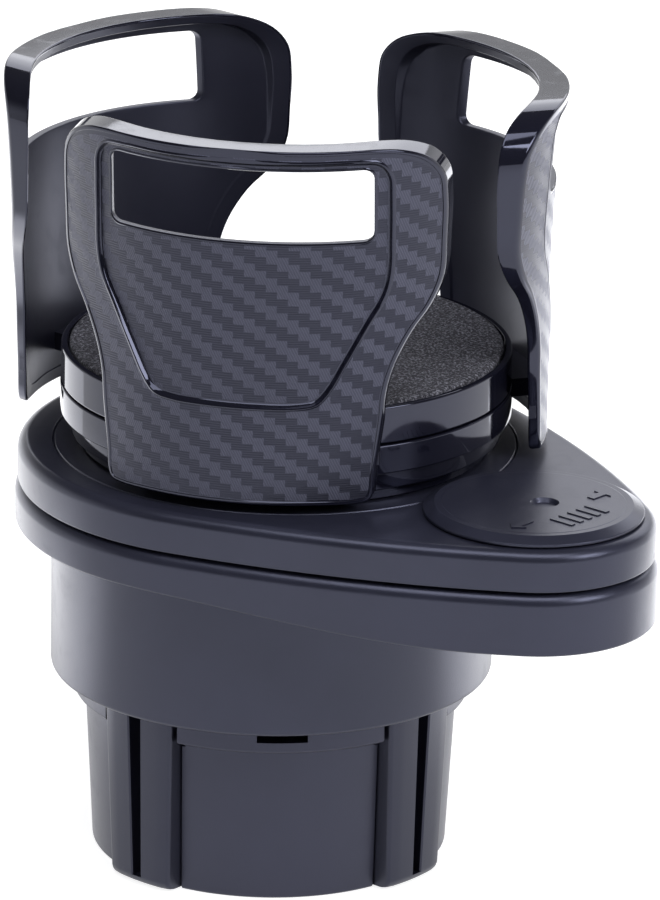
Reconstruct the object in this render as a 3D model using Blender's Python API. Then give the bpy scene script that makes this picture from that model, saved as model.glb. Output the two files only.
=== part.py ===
"""Car cup holder with an expanding foot, a lower cup well, a swinging
teardrop plate and three sliding grippers.  Lengths are given in
millimetres and written to the mesh in metres.  The origin lies on the
foot's axis at its base, +Z is up and +X points at the swing pivot."""

import math

import bmesh
import bpy
from mathutils import Vector
from mathutils.geometry import delaunay_2d_cdt

MM = 0.001
GAP = 0.3                      # play between pieces that nearly touch
HOLE_PLAY = 0.3                # a screw hole is this much wider than its shank, in radius

# foot: a round shell with a flat collar and a deck that carries the cup
FOOT_R_BASE = 34.5
FOOT_R_TOP = FOOT_R_BASE + 1.55
FOOT_WALL = 2.4
FOOT_IN = FOOT_R_BASE - FOOT_WALL
COVER_T = 2.1
DECK_Z0 = 30.6
DECK_T = 2.5
DECK_Z1 = DECK_Z0 + DECK_T
COLLAR_R = FOOT_R_TOP + 3.45
COLLAR_WALL = 2.4
COLLAR_Z0 = DECK_Z0 + 0.45
WINDOW_HALF, WINDOW_H = 4.85, 1.45

# legs: four sliding pads with a cam peg each
LEG_ANGLES = (0, 90, 180, 270)
CORNERS = (45, 135, 225, 315)
LEG_HALF = 8.45                # at the top of a leg
LEG_TAPER = 1.1                # a leg is this much narrower each side at its foot
LEG_PLAY = 0.8                 # each side of a leg in its channel
LEG_R = FOOT_R_BASE + 3.8
LEG_R_TOP = LEG_R + 1.1
LEG_BACK = FOOT_IN - 2.1
LEG_HIGH_BACK = COLLAR_R - COLLAR_WALL - 3.3
LEG_Z0 = 0.4
LEG_IN, LEG_OUT = 3.0, 5.0     # travel either way from the photographed place
GROOVE_HALF, GROOVE_SPREAD, GROOVE_DEEP = 1.0, 0.5, 2.6
TONGUE_T = 3.3
TONGUE_HALF = 6.0
TONGUE_Z1 = DECK_Z0 - GAP
TONGUE_Z0 = TONGUE_Z1 - TONGUE_T
PEG_R = 2.0
PEG_AT = 0.592 * FOOT_IN
TONGUE_END = PEG_AT - 2.6
GUIDE_WALL_T = 1.8
GUIDE_PLATE_T = 1.9
GUIDE_PLATE_Z1 = TONGUE_Z0 - GAP
GUIDE_PLATE_R = FOOT_IN - 9.3

# cam and hub that join the cup to the foot
CAM_LEAD = 8.0 / 1.4           # leg travel per radian of cup turn
CAM_T = 2.5
CAM_Z0 = DECK_Z1 + GAP
CAM_Z1 = CAM_Z0 + CAM_T
CAM_R = LEG_HIGH_BACK - LEG_IN - 1.8
HUB_R = 0.42 * PEG_AT
HUB_PLAY = 0.4
WASHER_R = 0.647 * PEG_AT
WASHER_T = 1.8
CAM_SCREW_AT = HUB_R + 3.2
SHANK_R, SMALL_SHANK_R = 1.5, 1.2

# cup body
CUP_Z0 = CAM_Z1 + GAP
COLLAR_Z1 = CUP_Z0 - GAP
LEG_TOP = CUP_Z0 - 2 * GAP
CUP_R, CUP_WALL = 42.8, 3.0
WELL_R = CUP_R - CUP_WALL
WELL_FLOOR = CUP_Z0 + 3.0
WELL_FILLET = 1.3

# round stack radii
STACK_X = 2.8
BAND_R = 43.1
GUIDE_R = BAND_R + 0.15
BASE_R = BAND_R - 1.5

# teardrop plates
CAP_R, CAP_TOP_R, CAP_POCKET_R = 20.7, 18.5, 12.3
PIVOT_X = STACK_X + BASE_R + CAP_R - 0.4
BIG_X = STACK_X - 1.3
BIG_R = BAND_R + 7.8
SMALL_R = CAP_R + 2.8
SIDE_BULGE = 2.26
LOW_TOP = 73.8
UP_BOTTOM = LOW_TOP + 0.35
UP_TOP = UP_BOTTOM + 7.85
PLATE_WALL, PLATE_DECK = 2.2, 2.6
UP_DECK = UP_TOP - PLATE_DECK
PLATE_STEP = 0.5               # the swing plate is this much smaller all round
EDGE = 2.2                     # rounding of the plates' upper edges
SKIRT_BIG, SKIRT_SMALL = LOW_TOP - 7.6, LOW_TOP - 11.95
PIVOT_BOSS_R, PIVOT_PIN_R = 9.5, 6.0
PIVOT_BOSS_Z0 = LOW_TOP - 7.3
CAP_Z0 = UP_TOP + 0.25
CAP_TOP = UP_TOP + 2.0

# round stack on the swing plate
BASE_Z0 = UP_TOP + GAP
NECK_H = 2.4
GUIDE_Z0 = BASE_Z0 + 6.05
GUIDE_FLOOR = GUIDE_Z0 + 1.65
ARM_HALF, ARM_T = 10.7, 3.6
ARM_Z0 = GUIDE_FLOOR + GAP
GUIDE_Z1 = ARM_Z0 + ARM_T + 0.1
TRAY_Z0 = GUIDE_Z1 + GAP
TRAY_Z1 = TRAY_Z0 + 7.2
PAD_Z0 = TRAY_Z1 - 2.1
PAD_T = 2.6
PAD_R = BAND_R - 1.6
STOP_AT, STOP_R = BAND_R - 11.1, 2.0
STACK_SCREW_AT = BAND_R - 8.3
BOLT_R = 2.0

# grippers: number, angle round the stack, how far each stands out in the photograph
GRIPPERS = ((1, -61.4, 0.0), (2, 58.6, 4.9), (3, 178.6, 9.4))
GRIPPER_OUT = 12.0             # travel outward from the closed place
ARM_END = STOP_AT - GRIPPER_OUT - 6.0
CLAW_IN = BAND_R + 0.5
CLAW_WALL = 2.0                # at the foot of a claw; its face swells outward above
CLAW_SWELL = 2.5
CLAW_Z0 = UP_TOP + 2.0
CLAW_H = 69.0
CLAW_HALF = 0.84 * CLAW_IN     # half width at the widest, so that three claws fit round the stack
RIM_LEAN = 1.6                 # the inner rim leans in this much
LUG_AT = 0.69 * CLAW_HALF
SUNK_DEPTH = 0.85
CLAW_SKIN = 1.6                # wall between the sunk face and the pocket behind it
POCKET_RIM = 2.4


def material(name, colour, rough):
    mat = bpy.data.materials.new(name)
    mat.use_nodes = True
    node = mat.node_tree.nodes["Principled BSDF"]
    node.inputs["Base Color"].default_value = (*colour, 1.0)
    node.inputs["Roughness"].default_value = rough
    mat.diffuse_color = (*colour, 1.0)
    return mat


def solid(name, verts, faces):
    mesh = bpy.data.meshes.new(name)
    mesh.from_pydata([[c * MM for c in v] for v in verts], [], faces)
    bm = bmesh.new()
    bm.from_mesh(mesh)
    bmesh.ops.remove_doubles(bm, verts=bm.verts, dist=1e-7)
    bmesh.ops.recalc_face_normals(bm, faces=bm.faces)
    if bm.calc_volume(signed=True) < 0:
        bmesh.ops.reverse_faces(bm, faces=bm.faces)
    bm.to_mesh(mesh)
    bm.free()
    obj = bpy.data.objects.new(name, mesh)
    bpy.context.collection.objects.link(obj)
    return obj


def lathe(profile, sides=44, x=0.0, y=0.0, name="lathe"):
    """Turns a closed (radius, height) polygon round an upright axis."""
    verts, faces, m = [], [], len(profile)
    for i in range(sides):
        a = 2 * math.pi * i / sides
        verts += [(x + r * math.cos(a), y + r * math.sin(a), z) for r, z in profile]
    for i in range(sides):
        j = (i + 1) % sides
        for k in range(m):
            q = (k + 1) % m
            if profile[k][0] == 0 and profile[q][0] == 0:
                continue
            face = [i * m + k, j * m + k, j * m + q, i * m + q]
            if profile[k][0] == 0:
                face.pop(1)
            elif profile[q][0] == 0:
                face.pop(2)
            faces.append(face)
    return solid(name, verts, faces)


def prism(loop, z0, z1, name="prism"):
    n = len(loop)
    verts = [(x, y, z0) for x, y in loop] + [(x, y, z1) for x, y in loop]
    faces = [list(range(n))[::-1], list(range(n, 2 * n))]
    faces += [[i, (i + 1) % n, n + (i + 1) % n, n + i] for i in range(n)]
    return solid(name, verts, faces)


def spin(points, angle, x=0.0, y=0.0):
    """Turns (out, side) pairs to the direction of angle, in degrees."""
    c, s = math.cos(math.radians(angle)), math.sin(math.radians(angle))
    return [(x + u * c - v * s, y + u * s + v * c) for u, v in points]


def bar(u0, u1, v0, v1, z0, z1, angle=0.0, x=0.0, y=0.0):
    """A block given by its span outward, sideways and upward."""
    return prism(spin([(u0, v0), (u1, v0), (u1, v1), (u0, v1)], angle, x, y), z0, z1)


def wedge(u0, u1, half0, half1, z0, z1):
    """A block whose half width changes evenly from its bottom to its top."""
    verts = [(u, v, z) for half, z in ((half0, z0), (half1, z1))
             for u, v in ((u0, -half), (u1, -half), (u1, half), (u0, half))]
    faces = [[3, 2, 1, 0], [4, 5, 6, 7]] + [[i, (i + 1) % 4, 4 + (i + 1) % 4, 4 + i] for i in range(4)]
    return solid("wedge", verts, faces)


def turn(obj, angle):
    c, s = math.cos(math.radians(angle)), math.sin(math.radians(angle))
    for v in obj.data.vertices:
        x, y = v.co.x, v.co.y
        v.co.x, v.co.y = x * c - y * s, x * s + y * c
    return obj


def rod(x, y, r, z0, z1, sides=16):
    at = [0.11 + 2 * math.pi * i / sides for i in range(sides)]
    return prism([(x + r * math.cos(a), y + r * math.sin(a)) for a in at], z0, z1)


def rods(places, r, z0, z1, sides=8):
    return [rod(x, y, r, z0, z1, sides) for x, y in places]


def ring_of(radius, angles, x=0.0):
    return [spin([(radius, 0)], a, x)[0] for a in angles]


def combine(base, others, operation):
    for other in others:
        mod = base.modifiers.new("step", "BOOLEAN")
        mod.operation, mod.solver, mod.object = operation, "EXACT", other
        graph = bpy.context.evaluated_depsgraph_get()
        mesh = bpy.data.meshes.new_from_object(base.evaluated_get(graph))
        base.modifiers.clear()
        old, base.data = base.data, mesh
        bpy.data.meshes.remove(old)
        bpy.data.objects.remove(other)
    return base


def join(base, *others):
    return combine(base, others, "UNION")


def cut(base, *others):
    return combine(base, others, "DIFFERENCE")


def finish(obj, name, mat, angle=32.0):
    mesh = obj.data
    bm = bmesh.new()
    bm.from_mesh(mesh)
    bmesh.ops.remove_doubles(bm, verts=bm.verts, dist=2e-6)
    bmesh.ops.triangulate(bm, faces=[f for f in bm.faces if len(f.verts) > 4])
    bm.to_mesh(mesh)
    bm.free()
    obj.name = mesh.name = name
    mesh.materials.clear()
    mesh.materials.append(mat)
    mesh.shade_smooth()
    mesh.set_sharp_from_angle(angle=math.radians(angle))
    return obj


def screw(name, place, head_top, head_h, head_r, shank_r, z_tip, mat):
    """A flat headed screw that points up from its head."""
    foot = head_top - head_h
    body = lathe([(0, foot), (head_r, foot), (head_r, head_top), (shank_r, head_top), (shank_r, z_tip),
                  (0, z_tip)], 10, *place)
    return finish(body, name, mat)


def capsule(u0, u1, r, steps=5):
    """A slot outline along the outward direction."""
    a = [math.pi / 2 + math.pi * i / steps for i in range(steps + 1)]
    b = [-math.pi / 2 + math.pi * i / steps for i in range(steps + 1)]
    return [(u0 + r * math.cos(t), r * math.sin(t)) for t in a] + \
           [(u1 + r * math.cos(t), r * math.sin(t)) for t in b]


# foot
def leg_half(z):
    return LEG_HALF - LEG_TAPER * (1 - z / LEG_TOP)


def build_foot_shell(mats):
    shell = lathe([(FOOT_IN, 0), (FOOT_R_BASE, 0), (FOOT_R_TOP, COLLAR_Z0), (COLLAR_R - 0.6, COLLAR_Z0),
                   (COLLAR_R, COLLAR_Z0 + 0.6), (COLLAR_R, COLLAR_Z1), (COLLAR_R - COLLAR_WALL, COLLAR_Z1),
                   (COLLAR_R - COLLAR_WALL, DECK_Z1), (HUB_R + HUB_PLAY, DECK_Z1),
                   (HUB_R + HUB_PLAY, DECK_Z0), (FOOT_IN, DECK_Z0)])
    channel = LEG_HALF + LEG_PLAY
    floor, roof = COVER_T + GAP, DECK_Z0 + 0.5
    walls = [bar(FOOT_IN - 10.6, FOOT_IN - 0.6, v, v + GUIDE_WALL_T, floor, roof, a)
             for a in LEG_ANGLES for v in (channel, -channel - GUIDE_WALL_T)]
    bosses = rods(ring_of(FOOT_IN - 5.1, CORNERS), 3.4, floor, roof, 12)
    bosses += rods(ring_of(PEG_AT - 1.0, CORNERS), 3.0, TONGUE_Z0, roof, 12)
    join(shell, *walls, *bosses)
    far = COLLAR_R + 7
    cuts = []
    for a in LEG_ANGLES:
        cuts.append(turn(wedge(LEG_BACK + 1.0, far, leg_half(-1) + GAP, leg_half(DECK_Z0) + GAP,
                               -1, DECK_Z0 - 0.15), a))
        cuts.append(bar(LEG_HIGH_BACK - LEG_IN - 0.5, far, -channel, channel, DECK_Z0 - 0.6,
                        COLLAR_Z1 + 1, a))
        slot = capsule(PEG_AT - LEG_IN - 0.6, PEG_AT + LEG_OUT + 0.6, PEG_R + GAP + 0.05)
        cuts.append(prism(spin(slot, a), DECK_Z0 - 1.6, DECK_Z1 + 1.4))
    for a in CORNERS:
        cuts.append(bar(COLLAR_R - COLLAR_WALL - 1, far, -WINDOW_HALF, WINDOW_HALF,
                        DECK_Z1 + 0.2, DECK_Z1 + 0.2 + WINDOW_H, a))
    shank = SMALL_SHANK_R + HOLE_PLAY
    cuts += rods(ring_of(FOOT_IN - 5.1, CORNERS), shank, 1.0, COVER_T + 9.9)
    cuts += rods(ring_of(PEG_AT - 1.0, CORNERS), shank, TONGUE_Z0 - 1, DECK_Z0 - 0.6)
    cut(shell, *cuts)
    finish(shell, "foot_shell", mats["satin"])


def build_foot_plates(mats):
    rim = FOOT_IN - GAP
    shank = SMALL_SHANK_R + HOLE_PLAY
    places = ring_of(FOOT_IN - 5.1, CORNERS)
    cover = lathe([(0, 0), (rim - 0.4, 0), (rim, 0.4), (rim, COVER_T), (0, COVER_T)], 40)
    half = leg_half(COVER_T) + 1
    cuts = [bar(LEG_BACK - LEG_IN - 0.4, rim + 8, -half, half, -1, COVER_T + 2, a) for a in LEG_ANGLES]
    cut(cover, *cuts, *rods(places, 3.2, -1, COVER_T - 1, 12), *rods(places, shank, -1, COVER_T + 2))
    finish(cover, "foot_bottom_cover", mats["satin"])
    for i, place in enumerate(places):
        screw(f"cover_screw_{i + 1}", place, COVER_T - 1 - 0.1, 0.9, 2.9, SMALL_SHANK_R,
              COVER_T + 8.4, mats["steel"])
    low = GUIDE_PLATE_Z1 - GUIDE_PLATE_T
    places = ring_of(PEG_AT - 1.0, CORNERS)
    plate = lathe([(HUB_R + 1, low), (GUIDE_PLATE_R, low), (GUIDE_PLATE_R, GUIDE_PLATE_Z1),
                   (HUB_R + 1, GUIDE_PLATE_Z1)], 36)
    cut(plate, *rods(places, shank, low - 4, GUIDE_PLATE_Z1 + 3, 12))
    finish(plate, "leg_guide_plate", mats["satin"])
    for i, place in enumerate(places):
        screw(f"guide_screw_{i + 1}", place, low - GAP, 1.6, 2.7, SMALL_SHANK_R,
              DECK_Z0 - 1.2, mats["steel"])


def build_leg(index, angle, mats):
    far = LEG_R_TOP + 1.2
    low = wedge(LEG_BACK, far, leg_half(LEG_Z0), leg_half(LEG_TOP), LEG_Z0, LEG_TOP)
    cut(low, bar(LEG_BACK - 1, LEG_HIGH_BACK, -LEG_HALF - 2, LEG_HALF + 2, DECK_Z0 - 0.6, LEG_TOP + 2))
    skin = lathe([(0, -2), (LEG_R - 1.4, -2), (LEG_R - 1.4, LEG_Z0), (LEG_R - 0.7, LEG_Z0 + 0.5),
                  (LEG_R - 0.2, LEG_Z0 + 1.6), (LEG_R_TOP, LEG_TOP - 0.5), (LEG_R_TOP - 0.4, LEG_TOP),
                  (LEG_R_TOP - 0.4, LEG_TOP + 2), (0, LEG_TOP + 2)], 90)
    combine(low, [skin], "INTERSECT")
    tongue = bar(TONGUE_END, LEG_BACK + 1, -TONGUE_HALF, TONGUE_HALF, TONGUE_Z0, TONGUE_Z1)
    join(low, tongue, rod(PEG_AT, 0, PEG_R, TONGUE_Z1 - 0.8, LEG_TOP, 14))
    cut(low, wedge(LEG_R - GROOVE_DEEP, far + 5, GROOVE_HALF, GROOVE_HALF + GROOVE_SPREAD, LEG_Z0 + 1.3,
                   LEG_TOP + 4))
    turn(low, angle)
    return finish(low, f"leg_{index}", mats["satin"])


def spiral_slot(angle, steps=9, cap_steps=5):
    """Slot in the cam that moves a peg outward as the cup turns."""
    lo, hi = -LEG_IN / CAM_LEAD - 0.02, LEG_OUT / CAM_LEAD + 0.02
    half = PEG_R + GAP
    base = math.radians(angle)
    mid = []
    for i in range(steps + 1):
        t = lo + (hi - lo) * i / steps
        r, a = PEG_AT + CAM_LEAD * t, base - t
        mid.append(Vector((r * math.cos(a), r * math.sin(a))))
    left, right = [], []
    for i, p in enumerate(mid):
        d = (mid[min(i + 1, steps)] - mid[max(i - 1, 0)]).normalized()
        side = Vector((-d.y, d.x)) * half
        left.append(p + side)
        right.append(p - side)

    def cap(centre, start):
        turns = [start - math.pi * k / cap_steps for k in range(1, cap_steps)]
        return [centre + Vector((math.cos(t), math.sin(t))) * half for t in turns]

    d1 = (mid[-1] - mid[-2]).normalized()
    d0 = (mid[1] - mid[0]).normalized()
    loop = left + cap(mid[-1], math.atan2(d1.x, -d1.y)) + right[::-1] + cap(mid[0], math.atan2(-d0.x, d0.y))
    return [(p.x, p.y) for p in loop]


# outlines of the plates
def teardrop(big_steps=26, small_steps=12):
    """Points of the plate outline with the angle each one faces."""
    span = PIVOT_X - BIG_X

    def side(s):
        slope = ((BIG_R - SMALL_R) - 4 * SIDE_BULGE * (1 - 2 * s)) / span
        r = BIG_R + (SMALL_R - BIG_R) * s + 4 * SIDE_BULGE * s * (1 - s)
        return BIG_X + span * s, r, math.acos(slope)

    a0, a1 = side(0)[2], side(1)[2]
    shares = (0.2, 0.4, 0.6, 0.8)
    pts = [(PIVOT_X, SMALL_R, -a1 + 2 * a1 * i / small_steps) for i in range(small_steps + 1)]
    pts += [side(s) for s in shares[::-1]]
    pts += [(BIG_X, BIG_R, a0 + (2 * math.pi - 2 * a0) * i / big_steps) for i in range(big_steps + 1)]
    pts += [(c, r, -a) for c, r, a in (side(s) for s in shares)]
    return [(c + r * math.cos(a), r * math.sin(a), a) for c, r, a in pts]


def tray(outer, inner):
    """An inverted tray: outer and inner are (inset, height) rows from rim to face."""
    line, verts, faces = teardrop(), [], []
    n = len(line)
    for inset, z in outer + inner:
        for x, y, a in line:
            verts.append((x - inset * math.cos(a), y - inset * math.sin(a), z(x) if callable(z) else z))
    m = len(outer)

    def band(p, q):
        return [[p * n + i, p * n + (i + 1) % n, q * n + (i + 1) % n, q * n + i] for i in range(n)]

    for k in range(m - 1):
        faces += band(k, k + 1)
    for k in range(len(inner) - 1):
        faces += band(m + k, m + k + 1)
    faces += band(0, m)
    faces.append([(m - 1) * n + i for i in range(n)])
    faces.append([(m + len(inner) - 1) * n + i for i in range(n)])
    return solid("tray", verts, faces)


def skirt_edge(x, deeper_from=5.5, deeper_to=73.0):
    t = min(1.0, max(0.0, (x - deeper_from) / (deeper_to - deeper_from)))
    return SKIRT_BIG + (SKIRT_SMALL - SKIRT_BIG) * t * t * (3 - 2 * t)


# cup body with the lower plate
def build_cup(mats):
    inside = LOW_TOP - 1.2
    screw_hole = SHANK_R + HOLE_PLAY
    cup = lathe([(0, CUP_Z0 + 1), (screw_hole, CUP_Z0 + 1), (screw_hole, DECK_Z0), (HUB_R, DECK_Z0),
                 (HUB_R, CUP_Z0), (CUP_R - 0.8, CUP_Z0), (CUP_R, CUP_Z0 + 1), (CUP_R, inside), (0, inside)])
    top = tray([(0.4, skirt_edge), (0, lambda x: skirt_edge(x) + 0.4), (0, LOW_TOP - EDGE),
                (EDGE * 0.3, LOW_TOP - EDGE * 0.3), (EDGE, LOW_TOP)],
               [(PLATE_WALL, skirt_edge), (PLATE_WALL, LOW_TOP - PLATE_DECK + 0.2)])
    boss = rod(PIVOT_X, 0, PIVOT_BOSS_R, PIVOT_BOSS_Z0, inside, 28)
    ribs = [bar(PIVOT_BOSS_R - 1, SMALL_R - 3.5, -0.9, 0.9, PIVOT_BOSS_Z0 + 0.4, inside, a, PIVOT_X)
            for a in (-75, 0, 75)]
    ribs.append(bar(CUP_R - 0.5, PIVOT_X - PIVOT_BOSS_R + 1, -0.9, 0.9, PIVOT_BOSS_Z0 + 0.4, inside))
    join(top, cup, boss, *ribs)
    well = lathe([(0, WELL_FLOOR), (WELL_R - WELL_FILLET, WELL_FLOOR), (WELL_R, WELL_FLOOR + WELL_FILLET),
                  (WELL_R, LOW_TOP + 1), (0, LOW_TOP + 1)])
    pin_hole = rod(PIVOT_X, 0, PIVOT_PIN_R + GAP, PIVOT_BOSS_Z0 - 6, LOW_TOP + 6, 24)
    holes = rods(ring_of(CAM_SCREW_AT, CORNERS), SMALL_SHANK_R + HOLE_PLAY, CUP_Z0 - 0.7, CUP_Z0 + 2)
    cut(top, well, pin_hole, *holes)
    finish(top, "cup_body", mats["satin"])


def build_cam(mats):
    places = ring_of(CAM_SCREW_AT, CORNERS)
    head_top = CAM_Z0 + 1.1
    inner = HUB_R + HUB_PLAY
    cam = lathe([(inner, CAM_Z0), (CAM_R, CAM_Z0), (CAM_R, CAM_Z1), (inner, CAM_Z1)], 40)
    cuts = [prism(spiral_slot(a), CAM_Z0 - 1.4, CAM_Z1 + 1.1) for a in LEG_ANGLES]
    cuts += rods(places, SMALL_SHANK_R + HOLE_PLAY, CAM_Z0 - 1.4, CAM_Z1 + 1.1)
    cuts += rods(places, 2.4, CAM_Z0 - 1.4, head_top + 0.2, 10)
    cut(cam, *cuts)
    finish(cam, "cam_disc", mats["satin"])
    for i, place in enumerate(places):
        screw(f"cam_screw_{i + 1}", place, head_top, 1.0, 2.1, SMALL_SHANK_R, CUP_Z0 + 1.8, mats["steel"])
    top, hole = DECK_Z0 - GAP, SHANK_R + HOLE_PLAY
    washer = lathe([(hole, top - WASHER_T), (WASHER_R, top - WASHER_T), (WASHER_R, top), (hole, top)], 28)
    finish(washer, "hub_washer", mats["satin"])
    screw("hub_screw", (0, 0), top - WASHER_T - GAP, 1.9, 3.6, SHANK_R, CUP_Z0 + 0.2, mats["steel"])


# swing plate and its pivot
def build_swing_plate(mats):
    s = PLATE_STEP
    plate = tray([(s + 0.3, UP_BOTTOM), (s, UP_BOTTOM + 0.35), (s, UP_TOP - EDGE),
                  (s + EDGE * 0.3, UP_TOP - EDGE * 0.3), (s + EDGE, UP_TOP)],
                 [(s + PLATE_WALL, UP_BOTTOM), (s + PLATE_WALL, UP_DECK)])
    pin_end = PIVOT_BOSS_Z0 - 0.2
    inside = UP_DECK + 0.6
    pin = lathe([(0, pin_end), (PIVOT_PIN_R, pin_end), (PIVOT_PIN_R, UP_BOTTOM),
                 (PIVOT_PIN_R + 3, UP_BOTTOM), (PIVOT_PIN_R + 3, inside), (0, inside)], 28, PIVOT_X)
    rib_r = STACK_SCREW_AT + 3.8
    ring = lathe([(rib_r, UP_BOTTOM + 1.3), (rib_r + 1.6, UP_BOTTOM + 1.3), (rib_r + 1.6, inside),
                  (rib_r, inside)], 44, STACK_X)
    join(plate, pin, ring)
    groove_r = BAND_R + 1.4
    cuts = [rod(PIVOT_X, 0, SHANK_R + HOLE_PLAY, pin_end - 6, UP_BOTTOM + 1.9, 14),
            rod(PIVOT_X, 0, CAP_POCKET_R, UP_TOP - 1.3, UP_TOP + 2, 32),
            lathe([(groove_r - 0.45, UP_TOP + 0.3), (groove_r, UP_TOP - 0.4),
                   (groove_r + 0.45, UP_TOP + 0.3)], 44, STACK_X),
            rod(STACK_X, 0, BOLT_R + HOLE_PLAY, UP_DECK - 4, UP_TOP + 2)]
    cuts += rods(ring_of(STACK_SCREW_AT, (0, 120, 240), STACK_X), SHANK_R + HOLE_PLAY,
                 UP_DECK - 4, UP_TOP + 2, 12)
    cut(plate, *cuts)
    finish(plate, "swing_plate", mats["satin"])


def build_pivot(mats):
    spigot = CAP_POCKET_R - GAP
    cap = lathe([(0, UP_TOP - 1.0), (spigot, UP_TOP - 1.0), (spigot, CAP_Z0), (CAP_R, CAP_Z0),
                 (CAP_R, CAP_Z0 + 0.55), (CAP_TOP_R, CAP_TOP), (3.0, CAP_TOP), (2.4, CAP_TOP - 0.7),
                 (0, CAP_TOP - 0.7)], 40, PIVOT_X)
    mark0, mark1 = CAP_TOP - 0.4, CAP_TOP + 0.25
    arrow = [(0.0, 2.9), (2.0, 0.9), (0.8, 0.9), (0.8, -2.6), (-0.8, -2.6), (-0.8, 0.9), (-2.0, 0.9)]
    marks = []
    for side in (-1, 1):
        loop = [(PIVOT_X + 6.4 + u, side * (11.4 + v)) for u, v in arrow]
        marks.append(prism(loop, mark0, mark1))
    for k in range(5):
        y = (k - 2) * 2.5
        marks.append(bar(8.4, 13.6, y - 0.55, y + 0.55, mark0, mark1, 0, PIVOT_X))
    join(cap, *marks)
    finish(cap, "pivot_cap", mats["satin"])
    top, hole = PIVOT_BOSS_Z0 - 2 * GAP, SHANK_R + HOLE_PLAY
    washer = lathe([(hole, top - WASHER_T), (PIVOT_BOSS_R - 0.2, top - WASHER_T),
                    (PIVOT_BOSS_R - 0.2, top), (hole, top)], 24, PIVOT_X)
    finish(washer, "pivot_washer", mats["steel"])
    screw("pivot_screw", (PIVOT_X, 0), top - WASHER_T - GAP, 1.8, 3.8, SHANK_R, UP_BOTTOM + 1.2,
          mats["steel"])


# round stack
def build_stack(mats):
    angles = [a for _, a, _ in GRIPPERS]
    places = ring_of(STACK_SCREW_AT, (0, 120, 240), STACK_X)
    hole, bolt_hole = SHANK_R + HOLE_PLAY, BOLT_R + HOLE_PLAY
    screw_tip = GUIDE_Z1 - 2.0
    base_top, neck_r = GUIDE_Z0 - GAP, BASE_R - 2.1
    base = lathe([(bolt_hole, base_top - 2.05), (neck_r - 9.5, base_top - 2.05), (neck_r - 9.5, BASE_Z0),
                  (neck_r, BASE_Z0), (neck_r, BASE_Z0 + NECK_H), (BASE_R, BASE_Z0 + NECK_H),
                  (BASE_R, base_top), (bolt_hole, base_top)], 44, STACK_X)
    cut(base, *rods(places, hole, BASE_Z0 - 2, GUIDE_Z0 + 4, 10))
    finish(base, "base_ring", mats["gloss"])

    guide = lathe([(bolt_hole, GUIDE_Z0), (GUIDE_R, GUIDE_Z0), (GUIDE_R, GUIDE_Z1), (bolt_hole, GUIDE_Z1)],
                  44, STACK_X)
    channel = ARM_HALF + 0.25
    channels = [bar(ARM_END - 3, GUIDE_R + 7, -channel, channel, GUIDE_FLOOR, GUIDE_Z1 + 1, a, STACK_X)
                for a in angles]
    cut(guide, *channels, *rods(places, hole, GUIDE_Z0 - 8, screw_tip + 0.4, 10))
    join(guide, *rods(ring_of(STOP_AT, angles, STACK_X), STOP_R, GUIDE_FLOOR - 1, GUIDE_Z1 - 0.4, 16))
    finish(guide, "guide_ring", mats["gloss"])

    web0, web1 = TRAY_Z0 + 2.7, PAD_Z0 - GAP
    disc = lathe([(0, web1 - 0.8), (bolt_hole, web1 - 0.8), (bolt_hole, TRAY_Z0), (7.0, TRAY_Z0), (7.0, web0),
                  (BAND_R - 4.6, web0), (BAND_R - 4.6, TRAY_Z0), (BAND_R, TRAY_Z0), (BAND_R, TRAY_Z1),
                  (PAD_R + 0.4, TRAY_Z1), (PAD_R + 0.4, web1), (0, web1)], 44, STACK_X)
    finish(disc, "tray_disc", mats["gloss"])
    pad_top = PAD_Z0 + PAD_T
    pad = lathe([(0, PAD_Z0), (PAD_R - 0.5, PAD_Z0), (PAD_R, PAD_Z0 + 0.5), (PAD_R, pad_top - 0.6),
                 (PAD_R - 0.6, pad_top), (0, pad_top)], 44, STACK_X)
    finish(pad, "foam_pad", mats["foam"])
    for i, place in enumerate(places):
        screw(f"stack_screw_{i + 1}", place, UP_DECK - GAP, 1.8, 3.3, SHANK_R, screw_tip, mats["steel"])
    screw("stack_bolt", (STACK_X, 0), UP_DECK - GAP, 2.0, 4.2, BOLT_R, web1 - 1.1, mats["steel"])


# grippers
def claw_out(w, z):
    up = max(0.0, (z - CLAW_Z0) / CLAW_H)
    return CLAW_IN + CLAW_WALL + CLAW_SWELL * up ** 2.4 - 0.5 * min(1.0, abs(w) / CLAW_HALF) ** 3 * up


def claw_in(w, z):
    lip = 8.7
    t = max(0.0, (z - CLAW_Z0 - CLAW_H + lip) / lip)
    return CLAW_IN - RIM_LEAN * t ** 1.6


def claw_back(w, z):
    return max(CLAW_IN + 0.2, claw_out(w, z) - SUNK_DEPTH - CLAW_SKIN)


def mirrored(half):
    """Closes a half outline, given from bottom to top as shares of half width and height."""
    points = [(w * CLAW_HALF, CLAW_Z0 + h * CLAW_H) for w, h in half]
    return points + [(-w, z) for w, z in points[::-1]]


def inset(loop, d):
    n, out = len(loop), []
    for i in range(n):
        a, b, c = (Vector(loop[k % n]) for k in (i - 1, i, i + 1))
        e1, e2 = (b - a).normalized(), (c - b).normalized()
        n1, n2 = Vector((-e1.y, e1.x)), Vector((-e2.y, e2.x))
        m = (n1 + n2).normalized()
        p = b + m * (d / max(0.5, m.dot(n1)))
        out.append((p.x, p.y))
    return out


def inside(p, loop):
    hit, n = False, len(loop)
    for i in range(n):
        (x0, y0), (x1, y1) = loop[i], loop[(i + 1) % n]
        if (y0 > p[1]) != (y1 > p[1]) and p[0] < (x1 - x0) * (p[1] - y0) / (y1 - y0) + x0:
            hit = not hit
    return hit


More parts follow.
